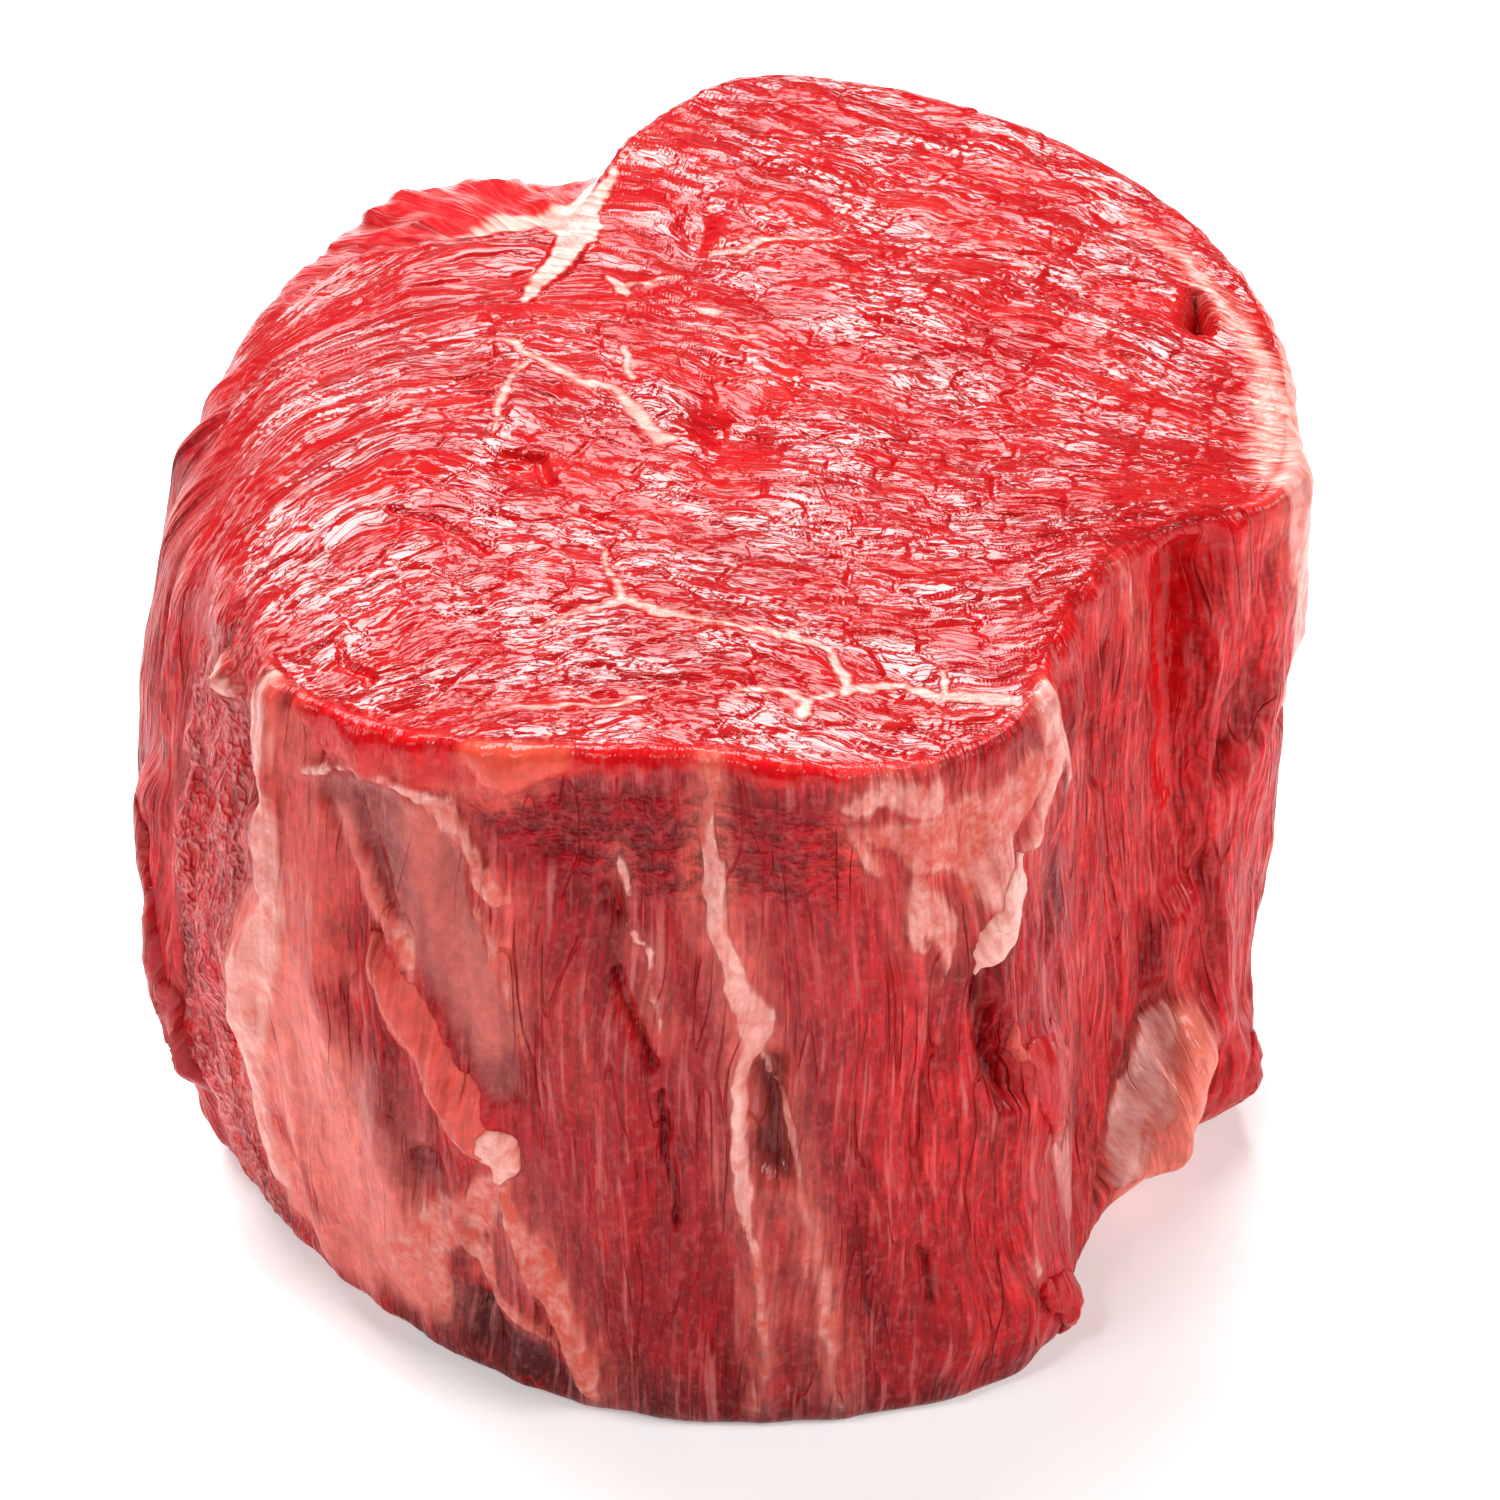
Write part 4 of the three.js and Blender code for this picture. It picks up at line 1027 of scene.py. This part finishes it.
def rawBeefMaterial():
    # raw beef, knife-cut across its fibres: wet plates with thin cracks break a reflection into streaks
    look = rawBeef
    high = look["heights"]
    material, add = newMaterial("rawBeefMoist")
    ground = add("ShaderNodeAttribute", attribute_name="ground").outputs["Color"]
    read = {}
    for key in ("fat", "warm", "skin", "onFace", "dull", "creased", "crumbled"):
        read[key] = add("ShaderNodeAttribute", attribute_name=key).outputs["Fac"]
    for key, (source, size, detail, rough) in look["grains"].items():
        way = add("ShaderNodeAttribute", attribute_name=source).outputs["Vector"]
        scaled = add("ShaderNodeMapping", {"Scale": [1.0 / v for v in size]}, {"Vector": way})
        read[key] = add("ShaderNodeTexNoise", {"Scale": 1.0, "Detail": detail, "Roughness": rough},
                        {"Vector": scaled}).outputs["Fac"]
    for key, (source, *span) in look["ranges"].items():
        read[key] = add("ShaderNodeMapRange", dict(enumerate(span, 1)), {0: read[source]})
    onFace = read["onFace"]
    line = {}
    for key, (core, whole) in look["lines"].items():
        off = add("ShaderNodeMath", {1: 0.5}, {0: read[key]}, operation="SUBTRACT")
        near = add("ShaderNodeMath", links={0: off}, operation="ABSOLUTE")
        line[key] = add("ShaderNodeMapRange", {1: core, 2: whole, 3: 1.0, 4: 0.0}, {0: near},
                        interpolation_type="SMOOTHSTEP")

    # colour: cracks and slits get painted shade, a darker red, and single threads are paler
    faceCrack = add("ShaderNodeMath", links={0: line["faceCrack"], 1: read["crackHere"]},
                    operation="MULTIPLY")
    slit = add("ShaderNodeMath", links={0: line["wallLine"], 1: read["lineHere"]}, operation="MULTIPLY")
    bare = add("ShaderNodeMath", {0: 1.0}, {1: read["skin"]}, operation="SUBTRACT")
    wallCrack = add("ShaderNodeMath", links={0: slit, 1: bare}, operation="MULTIPLY")
    crackShadeShare = add("ShaderNodeMix", links={0: onFace, 2: wallCrack, 3: faceCrack})
    uncreased = add("ShaderNodeMath", links={0: bare, 1: read["creased"]}, operation="SUBTRACT",
                    use_clamp=True)
    # painted highlight: the wall's fibre crests and crumbs take the pale thread colour
    fibreHighlightBare = add("ShaderNodeMath", links={0: read["fibreHighlight"], 1: uncreased}, operation="MULTIPLY")
    wallHighlight = add("ShaderNodeMath", operation="MULTIPLY_ADD",
                     links={0: read["crumbHighlight"], 1: read["crumbHere"], 2: fibreHighlightBare})
    threadAndHighlightShare = add("ShaderNodeMix", links={0: onFace, 2: wallHighlight, 3: read["threadFace"]})

    # fine fibres, lighter on their crests and darker in the hollows between them: painted light and shade
    # that follow their heights
    fibreToneAndShade = add("ShaderNodeMath", {1: 0.6}, {0: read["wallThread"], 2: read["wallFine"]},
                    operation="MULTIPLY_ADD")
    wallToneAndShade = add("ShaderNodeMapRange", {1: 0.6, 2: 1.0, 3: 0.62, 4: 1.36}, {0: fibreToneAndShade})
    wallToneAndShadeCalmed = add("ShaderNodeMix", {3: 1.0}, {0: read["skin"], 2: wallToneAndShade})
    wallToneAndShadeMottled = add("ShaderNodeMath", links={0: wallToneAndShadeCalmed, 1: read["toneMottle"]}, operation="MULTIPLY")
    wallToneAndShadeHere = add("ShaderNodeMix", links={0: read["creased"], 2: wallToneAndShadeMottled, 3: read["creaseToneAndShade"]})
    # tone carries the wall's painted light and shade from its fibres and creases, and none on the face
    tone = add("ShaderNodeMix", {3: 1.0}, {0: onFace, 2: wallToneAndShadeHere})
    tonedAndShaded = add("ShaderNodeVectorMath", links={0: ground, "Scale": tone}, operation="SCALE")
    pale = add("ShaderNodeMix", {7: linear(look["thread"])}, {0: threadAndHighlightShare, 6: tonedAndShaded}, data_type="RGBA")
    lean = add("ShaderNodeMix", {7: linear(look["crack"])}, {0: crackShadeShare, 6: pale.outputs[2]},
               data_type="RGBA")

    # fat frays along the fibres, from cream in its middle to salmon at its thin edge
    fray = add("ShaderNodeMix", links={0: onFace, 2: read["wallThread"], 3: read["faceFlake"]})
    frayed = add("ShaderNodeMath", {1: 0.9}, {0: fray, 2: read["fat"]}, operation="MULTIPLY_ADD")
    lumpy = add("ShaderNodeMath", {1: 0.3}, {0: read["lumps"], 2: frayed}, operation="MULTIPLY_ADD")
    fatMask = add("ShaderNodeMapRange", {1: 0.95, 2: 1.4}, {0: lumpy}, interpolation_type="SMOOTHSTEP")
    fatCore = add("ShaderNodeMapRange", {1: 1.0, 2: 1.65, 3: 0.9, 4: 0.0}, {0: lumpy})
    fatEdge = add("ShaderNodeMath", links={0: read["warm"], 1: fatCore}, operation="MAXIMUM")
    fatMottle = add("ShaderNodeMath", {1: 1.6}, {0: read["lumps"], 2: fatEdge}, operation="MULTIPLY_ADD")
    fatTint = add("ShaderNodeMath", {1: 0.8}, {0: fatMottle}, operation="SUBTRACT", use_clamp=True)
    fatColour = add("ShaderNodeMix", {6: linear(look["creamFat"]), 7: linear(look["salmonFat"])},
                    {0: fatTint}, data_type="RGBA")
    fatThick = add("ShaderNodeMapRange", {1: 0.38, 2: 0.6, 3: 0.65, 4: 1.0}, {0: fray})
    fatSeen = add("ShaderNodeMath", links={0: fatMask, 1: fatThick}, operation="MULTIPLY")
    colour = add("ShaderNodeMix", links={0: fatSeen, 6: lean.outputs[2], 7: fatColour.outputs[2]},
                 data_type="RGBA")

    # the face's heights: flakes, plates that lean each its own way, and the cracks between them
    faceHigh = add("ShaderNodeMapRange", {1: 0.45, 2: 0.52, 3: 0.0, 4: high["flakes"]},
                   {0: read["faceFlake"]}, interpolation_type="SMOOTHSTEP")
    way = add("ShaderNodeAttribute", attribute_name="grainFace").outputs["Vector"]
    bend = add("ShaderNodeTexNoise", {"Scale": 1.1, "Detail": 1.0}, {"Vector": way})
    bent = add("ShaderNodeVectorMath", {1: (0.9, 0.5, 0.0)}, {0: bend.outputs["Color"], 2: way},
               operation="MULTIPLY_ADD")
    for along, across, leanHigh in look["plates"].values():
        scaled = add("ShaderNodeMapping", {"Scale": (1 / along, 1 / across, 1.0)}, {"Vector": bent})
        cell = add("ShaderNodeTexVoronoi", {"Scale": 1.0}, {"Vector": scaled}, voronoi_dimensions="2D",
                   feature="F1")
        offset = add("ShaderNodeVectorMath", links={0: scaled, 1: cell.outputs["Position"]},
                     operation="SUBTRACT")
        aim = add("ShaderNodeVectorMath", {1: (0.5, 0.5, 0.5)}, {0: cell.outputs["Color"]},
                  operation="SUBTRACT")
        tilt = add("ShaderNodeVectorMath", links={0: offset, 1: aim}, operation="DOT_PRODUCT")
        plate = add("ShaderNodeMath", {1: leanHigh}, {0: tilt.outputs["Value"]}, operation="MULTIPLY")
        faceHigh = add("ShaderNodeMath", links={0: faceHigh, 1: plate}, operation="ADD")
    faceHigh = add("ShaderNodeMath", {1: high["faceCrack"]}, {0: faceCrack, 2: faceHigh},
                   operation="MULTIPLY_ADD")

    # the wall's heights: fibres, slits and crumbs, calm where a skin covers them, then creases and lumps
    crumbs = add("ShaderNodeMath", links={0: read["crumbled"], 1: read["wallCrumb"]}, operation="MULTIPLY")
    creases = add("ShaderNodeMath", links={0: read["creased"], 1: read["wallCross"]}, operation="MULTIPLY")
    wallHigh = add("ShaderNodeMath", {1: high["wallFine"]}, {0: read["wallFine"]}, operation="MULTIPLY")
    for key, source in {"wallThread": read["wallThread"], "wallLine": slit, "crumbs": crumbs}.items():
        wallHigh = add("ShaderNodeMath", {1: high[key]}, {0: source, 2: wallHigh}, operation="MULTIPLY_ADD")
    wallHigh = add("ShaderNodeMath", links={0: wallHigh, 1: read["calmSkin"]}, operation="MULTIPLY")
    for key, source in {"creases": creases, "lumps": read["lumps"]}.items():
        wallHigh = add("ShaderNodeMath", {1: high[key]}, {0: source, 2: wallHigh}, operation="MULTIPLY_ADD")
    allHigh = add("ShaderNodeMix", links={0: onFace, 2: wallHigh, 3: faceHigh})
    offFat = add("ShaderNodeMapRange", {1: 0.0, 2: 1.0, 3: 1.0, 4: 0.3}, {0: fatMask})
    allHigh = add("ShaderNodeMath", links={0: allHigh, 1: offFat}, operation="MULTIPLY")
    fatLumps = add("ShaderNodeMath", links={0: fatMask, 1: read["lumps"]}, operation="MULTIPLY")
    allHigh = add("ShaderNodeMath", {1: high["fatLumps"]}, {0: fatLumps, 2: allHigh},
                  operation="MULTIPLY_ADD")
    bump = add("ShaderNodeBump", {"Strength": 1.0, "Distance": mm}, {"Height": allHigh})

    # wet face, duller wall, half-wet skins
    roughFace = add("ShaderNodeMath", {1: look["roughFace"]}, {0: read["dull"]}, operation="ADD")
    rough = add("ShaderNodeMix", links={0: onFace, 2: read["roughWall"], 3: roughFace})

    # its own juice lies on the cut face as a film, thinner where it has dried and on the walls
    filmFace = add("ShaderNodeMath", links={0: read["filmLeft"], 1: read["filmHere"]}, operation="MULTIPLY")
    filmWall = add("ShaderNodeMath", {1: look["filmCrumbled"]}, {0: read["crumbled"], 2: read["filmSkin"]},
                   operation="MULTIPLY_ADD")
    filmLean = add("ShaderNodeMix", links={0: onFace, 2: filmWall, 3: filmFace})
    film = add("ShaderNodeMix", {3: look["filmFat"]}, {0: fatMask, 2: filmLean})
    surface = add("ShaderNodeBsdfPrincipled",
            {"IOR": 1.34, "Specular IOR Level": 0.08, "Coat Roughness": 0.06, "Coat IOR": 1.5},
            {"Base Color": colour.outputs[2], "Roughness": rough, "Normal": bump,
             "Coat Weight": film, "Coat Normal": bump})
    add("ShaderNodeOutputMaterial", links={"Surface": surface})
    return material


shaped, normals, layers = buildFillet()
print("fillet is shaped")
moistBeef = rawBeefMaterial()
topRing = net["wallRows"] + net["faceRings"]
# each part's first and last ring, and its lids: the ring, mm inward, mm up, and the way it faces
parts = {
    "filletMeat": (0, net["wallRows"], [(net["wallRows"], net["tuck"], -7.0, 1.0), (0, 0.02, 0.0, -1.0)]),
    "filletFace": (net["wallRows"], topRing, [(net["wallRows"], net["tuck"], -6.0, -1.0)]),
}
for name, (first, last, lids) in parts.items():
    piece = makePart(name, shaped, normals, layers, first, last, lids)
    piece.data.materials.append(moistBeef)
    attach(piece, bodyName)
    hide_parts(nodeName)
print("meat is in place")


# Raised pieces on the wall: what lies proud of it, as a closed strip. Each has its stuff, fat or
# lean, its colour, how lumpy it is, how far it is sunk in millimetres, and its way as angle,
# height, half width and how far it stands out. Lean says which of its long edges stands out more.

raised = {
    "whiteLump": {"stuff": "fat", "warm": 0.12, "lumps": 0.7, "sink": 1.0,
                  "path": [(301.6, 48.2, 0.4, 0.2), (300, 46.4, 1.5, 0.6), (298, 44.0, 1.7, 0.9),
                           (296.4, 42, 1.1, 0.6), (295.4, 40.8, 0.3, 0.2)]},
    "creamNodule": {"stuff": "fat", "warm": 0.35, "lumps": 0.9, "sink": 1.0, "lean": 0.3,
                    "path": [(247.4, 26.2, 0.4, 0.3), (248.6, 25.2, 1.2, 0.6), (249.6, 23.6, 1.2, 0.7),
                             (249.2, 22.0, 0.4, 0.3)]},
    "leanFlap": {"stuff": "lean", "colour": "flap", "lumps": 0.22, "sink": 0.8, "lean": -0.6,
                 # partly fat, partly painted highlight: a pale edge along one side of the flap
                 "paleEdgeHighlight": 0.75,
                 "path": [(235.4, 40.6, 0.2, 0.1), (236.4, 39.2, 1.0, 0.4), (239, 35.8, 1.8, 0.6),
                          (242, 32.2, 2.0, 0.65), (245, 28.4, 1.7, 0.6), (247.2, 25.2, 1.0, 0.4),
                          (248.2, 23.0, 0.3, 0.2)]},
    "hangingStrip": {"stuff": "lean", "colour": "lean", "lumps": 0.06, "sink": 1.4,
                     "path": [(195, 34, 0.3, 0.1), (196, 31, 0.9, 0.5), (198.6, 25, 1.3, 0.9),
                              (201, 19, 1.5, 1.2), (203.4, 14, 1.4, 1.4), (204.4, 11, 1.1, 1.2),
                              (205, 9.6, 0.4, 0.6)]},
    "cornerLobe": {"stuff": "lean", "colour": "leanRight", "lumps": 0.4, "sink": 1.0,
                   "path": [(302.6, 32, 0.4, 0.1), (304.6, 29.6, 1.9, 0.6), (306.4, 26, 2.3, 0.8),
                            (306.6, 22.6, 1.7, 0.6), (306, 20.4, 0.4, 0.2)]},
    "spike": {"stuff": "lean", "colour": "flap", "lumps": 0.2, "sink": 0.6,
              "path": [(301, 30.6, 0.7, 0.3), (300.4, 32.6, 0.45, 0.6), (300, 34.6, 0.1, 0.5)]},
    "footLump": {"stuff": "lean", "colour": "bright", "lumps": 0.5, "sink": 1.0,
                 "path": [(303, 8.8, 0.4, 0.3), (305.6, 7, 1.4, 1.0), (307.2, 4.8, 1.4, 1.2),
                          (307.8, 2.8, 1.0, 1.0), (307, 1.4, 0.4, 0.4)]},
    "rightFootLobe": {"stuff": "lean", "colour": "leanRight", "lumps": 0.4, "sink": 1.2,
                      "path": [(346.6, 9, 0.5, 0.2), (345.6, 6.8, 1.8, 0.8), (344.4, 4.2, 1.9, 0.9),
                               (343, 2.4, 0.9, 0.5)]},
}
strip = {
    "step": 0.3,         # mm between sections
    "section": 28,       # points round each
    "least": 0.04,       # mm, the smallest half width
    "lowest": 0.3,       # mm above the table
    "sway": 0.5,         # mm that it wanders to its sides
    "dome": 0.8,         # under 1 its back is flatter than an arch
}


# How far out the shaped wall lies at an angle and height, so that a strip sits on it
def seatRadius(angle, z):
    angles = columnAngles()
    middle = shaped - (cut["shift"][0], cut["shift"][1], 0.0)
    wall = middle[:net["wallRows"] + 1]
    far = np.hypot(wall[..., 0], wall[..., 1])
    high = np.maximum.accumulate(wall[..., 2], axis=0)
    turned = (angle.ravel() - angles[0]) % 360.0 + angles[0]
    column = np.clip(np.searchsorted(angles, turned) - 1, 0, len(angles) - 1)
    radius = [np.interp(level, high[:, k], far[:, k]) for level, k in zip(z.ravel(), column)]
    return np.array(radius).reshape(angle.shape)


# A closed strip along a way on the wall: a dome in section, sunk a little into the meat
def addRaised(name, spec, seed):
    way = np.array(spec["path"], float)
    at = np.concatenate([[0.0], np.cumsum(np.hypot(aroundMm(np.diff(way[:, 0])), np.diff(way[:, 1])))])
    stations = np.linspace(0.0, at[-1], max(12, int(at[-1] / strip["step"])))
    slopes = np.gradient(way, at, axis=0)
    i = np.clip(np.searchsorted(at, stations, side="right") - 1, 0, len(at) - 2)
    gap = (at[i + 1] - at[i])[:, None]
    t = ((stations - at[i]) / gap[:, 0])[:, None]
    line = smoothCurve(t, gap, way[i], slopes[i], way[i + 1], slopes[i + 1])
    headA, headZ = np.gradient(aroundMm(line[:, 0])), np.gradient(line[:, 1])
    size = np.hypot(headA, headZ)
    sideA, sideZ = -headZ / size, headA / size

    # across it u runs from edge to edge and w from below to above
    phase = np.linspace(0.0, 2 * math.pi, strip["section"], endpoint=False)[None, :]
    run = stations[:, None]
    u, w = np.cos(phase), np.sin(phase)
    flat = 0 * run
    coarse = latticeNoise(run / 1.6 + 9.1, u * 1.3, w * 0.3 + 0.5, seed)
    fine = latticeNoise(run / 0.6 + 4.3, u * 1.9, w * 0.3 + 0.5, seed + 1)
    ragged = 1 + 0.5 * spec["lumps"] * coarse + 0.3 * spec["lumps"] * fine
    half = np.maximum(line[:, 2:3], strip["least"]) * ragged
    sway = strip["sway"] * latticeNoise(run / 2.6, 0.5 + 0 * u, 0.5 + flat, seed + 3)
    angle = line[:, 0:1] + (sideA[:, None] * (u * half + sway)) / aroundMm(1.0)
    z = np.maximum(line[:, 1:2] + sideZ[:, None] * (u * half + sway), strip["lowest"])
    lean = spec.get("lean", 0.0)
    dome = line[:, 3:4] * np.maximum(w, 0.0) ** strip["dome"] * (1 + lean * u) / (1 + abs(lean))
    lumps = (0.5 * spec["lumps"] * line[:, 3:4]
             * latticeNoise(run / 0.9, u * half / 0.9, 0.5 + flat, seed + 2))
    high = np.where(w > 0.0, dome + lumps * np.maximum(w, 0.0), spec["sink"] * w)
    radius = seatRadius(angle, z) + high
    cosA, sinA = np.cos(np.radians(angle)), np.sin(np.radians(angle))
    points = np.stack([radius * cosA + cut["shift"][0], radius * sinA + cut["shift"][1], z], axis=-1)

    count, section = points.shape[:2]
    ends = [points[0].mean(axis=0)[None], points[-1].mean(axis=0)[None]]
    faces = []
    for row in range(0, (count - 1) * section, section):
        for k in range(section):
            a, b = row + k, row + (k + 1) % section
            faces.append((a, b, b + section, a + section))
    last = (count - 1) * section
    for k in range(section):
        faces.append(((k + 1) % section, k, count * section))
        faces.append((last + k, last + (k + 1) % section, count * section + 1))

    side = np.concatenate([(u + flat).ravel(), [0.0, 0.0]])
    edge = np.concatenate([(np.abs(u) + flat).ravel(), [1.0, 1.0]])
    grain = np.stack([roundRadius * cosA, roundRadius * sinA, z + high], axis=-1).reshape(-1, 3)
    colour = linear(meatColour[spec.get("colour", "salmon")])
    marks = {"ground": np.tile(colour, (len(edge), 1)),
             # a pale fat colour along one edge, partly painted highlight
             "fat": spec.get("paleEdgeHighlight", 0.0) * smoothStep(-0.3, -0.8, side),
             "warm": clamp01(spec.get("warm", 0.5) + 0.25 * edge**4), "skin": np.full(len(edge), 0.5)}
    marks.update((key, np.zeros(len(edge))) for key in ("onFace", "dull", "creased", "crumbled"))
    marks["grainWall"] = np.concatenate([grain, grain[:1], grain[-1:]])
    return placeMesh(name, newMesh(name, np.concatenate([points.reshape(-1, 3), *ends]), faces, marks))


softFat = {
    "cream": "#ecb0a4",
    "salmon": "#cc5646",
    "thread": "#ecc4bc",
    "lump": 0.8, "fibre": (0.5, 0.5, 3.0),   # mm
    "bump": 0.25,                            # mm
    "clear": (1.0, 0.45, 0.35),              # mm that red, green and blue light run through it
}


def softFatMaterial():
    # raw beef fat, chilled: waxy, a little clear, so its thin edges take the colour of the meat
    look = softFat
    material, add = newMaterial("beefFatWaxy")
    warm = add("ShaderNodeAttribute", attribute_name="warm").outputs["Fac"]
    way = add("ShaderNodeAttribute", attribute_name="grainWall").outputs["Vector"]
    lumps = add("ShaderNodeTexNoise", {"Scale": 1 / look["lump"], "Detail": 3.0, "Roughness": 0.6},
                {"Vector": way}).outputs["Fac"]
    scaled = add("ShaderNodeMapping", {"Scale": [1 / v for v in look["fibre"]]}, {"Vector": way})
    fibres = add("ShaderNodeTexNoise", {"Scale": 1.0, "Detail": 3.0, "Roughness": 0.6},
                 {"Vector": scaled}).outputs["Fac"]
    tint = add("ShaderNodeMapRange", {1: 0.35, 2: 0.65, 3: -0.3, 4: 0.3}, {0: lumps})
    tinted = add("ShaderNodeMath", links={0: warm, 1: tint}, operation="ADD", use_clamp=True)
    body = add("ShaderNodeMix", {6: linear(look["cream"]), 7: linear(look["salmon"])}, {0: tinted},
               data_type="RGBA")
    pale = add("ShaderNodeMapRange", {1: 0.55, 2: 0.72, 3: 0.0, 4: 0.45}, {0: fibres})
    colour = add("ShaderNodeMix", {7: linear(look["thread"])}, {0: pale, 6: body.outputs[2]},
                 data_type="RGBA")
    high = add("ShaderNodeMath", {1: 0.6}, {0: fibres, 2: lumps}, operation="MULTIPLY_ADD")
    bump = add("ShaderNodeBump", {"Strength": 1.0, "Distance": look["bump"] * mm}, {"Height": high})
    surface = add("ShaderNodeBsdfPrincipled",
            {"IOR": 1.4, "Roughness": 0.34, "Subsurface Weight": 0.25,
             "Subsurface Radius": look["clear"], "Subsurface Scale": mm},
            {"Base Color": colour.outputs[2], "Normal": bump})
    add("ShaderNodeOutputMaterial", links={"Surface": surface})
    return material


waxyFat = softFatMaterial()
for index, (name, spec) in enumerate(raised.items()):
    piece = addRaised(name, spec, 100 + 3 * index)
    piece.data.materials.append(waxyFat if spec["stuff"] == "fat" else moistBeef)
    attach(piece, bodyName)
    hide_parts(nodeName)
print(len(raised), "raised pieces are in place")


# Studio: a white table that glows a little, a broad light behind and above, two soft fills in
# front, and a small lamp for glints. Places and sizes in metres.

studio = {
    "lamps": {
        "backSoftbox": {"from": (-0.14, 0.39, 0.65), "size": (0.66, 0.36), "watts": 12.5},
        "glint": {"from": (-0.30, -0.45, 0.75), "size": (0.10, 0.10), "watts": 1.2},
        "leftFill": {"from": (-0.75, -0.60, 0.75), "size": (0.45, 0.45), "watts": 4.4},
        "rightFill": {"from": (0.85, -0.45, 0.70), "size": (0.45, 0.45), "watts": 8.5},
    },
    "aim": (0.0, 0.0, 0.03),   # the middle of the cut
    "world": 0.3,
    "table": "#f6f6f6",
    "tableReach": 6.0,
    "glow": 0.26,
}


def addSoftbox(name, setup):
    data = bpy.data.lights.new(name, "AREA")
    data.shape = "RECTANGLE"
    data.size, data.size_y = setup["size"]
    data.energy = setup["watts"]
    lamp = bpy.data.objects.new(name, data)
    bpy.context.scene.collection.objects.link(lamp)
    lamp.location = setup["from"]
    aim = np.array(studio["aim"]) - np.array(setup["from"])
    spin = math.atan2(aim[1], aim[0]) - math.pi / 2
    tilt = math.atan2(aim[2], math.hypot(aim[0], aim[1]))
    lamp.rotation_euler = (math.pi / 2 + tilt, 0.0, spin)


def addTable():
    reach = studio["tableReach"]
    mesh = bpy.data.meshes.new("table")
    mesh.from_pydata([(-reach, -reach, 0), (reach, -reach, 0), (reach, reach, 0), (-reach, reach, 0)], [],
                     [(0, 1, 2, 3)])
    table = bpy.data.objects.new("table", mesh)
    bpy.context.scene.collection.objects.link(table)
    material = bpy.data.materials.new("whiteTable")
    material.use_nodes = True
    surface = material.node_tree.nodes["Principled BSDF"]
    surface.inputs["Base Color"].default_value = linear(studio["table"])
    surface.inputs["Roughness"].default_value = 0.6
    surface.inputs["Emission Color"].default_value = linear(studio["table"])
    surface.inputs["Emission Strength"].default_value = studio["glow"]
    mesh.materials.append(material)


def addWorld():
    world = bpy.data.worlds.new("softRoom")
    world.use_nodes = True
    world.node_tree.nodes["Background"].inputs["Strength"].default_value = studio["world"]
    bpy.context.scene.world = world


for lampName, setup in studio["lamps"].items():
    addSoftbox(lampName, setup)
addTable()
addWorld()
bpy.context.scene.view_settings.view_transform = "Standard"
print("studio is lit")
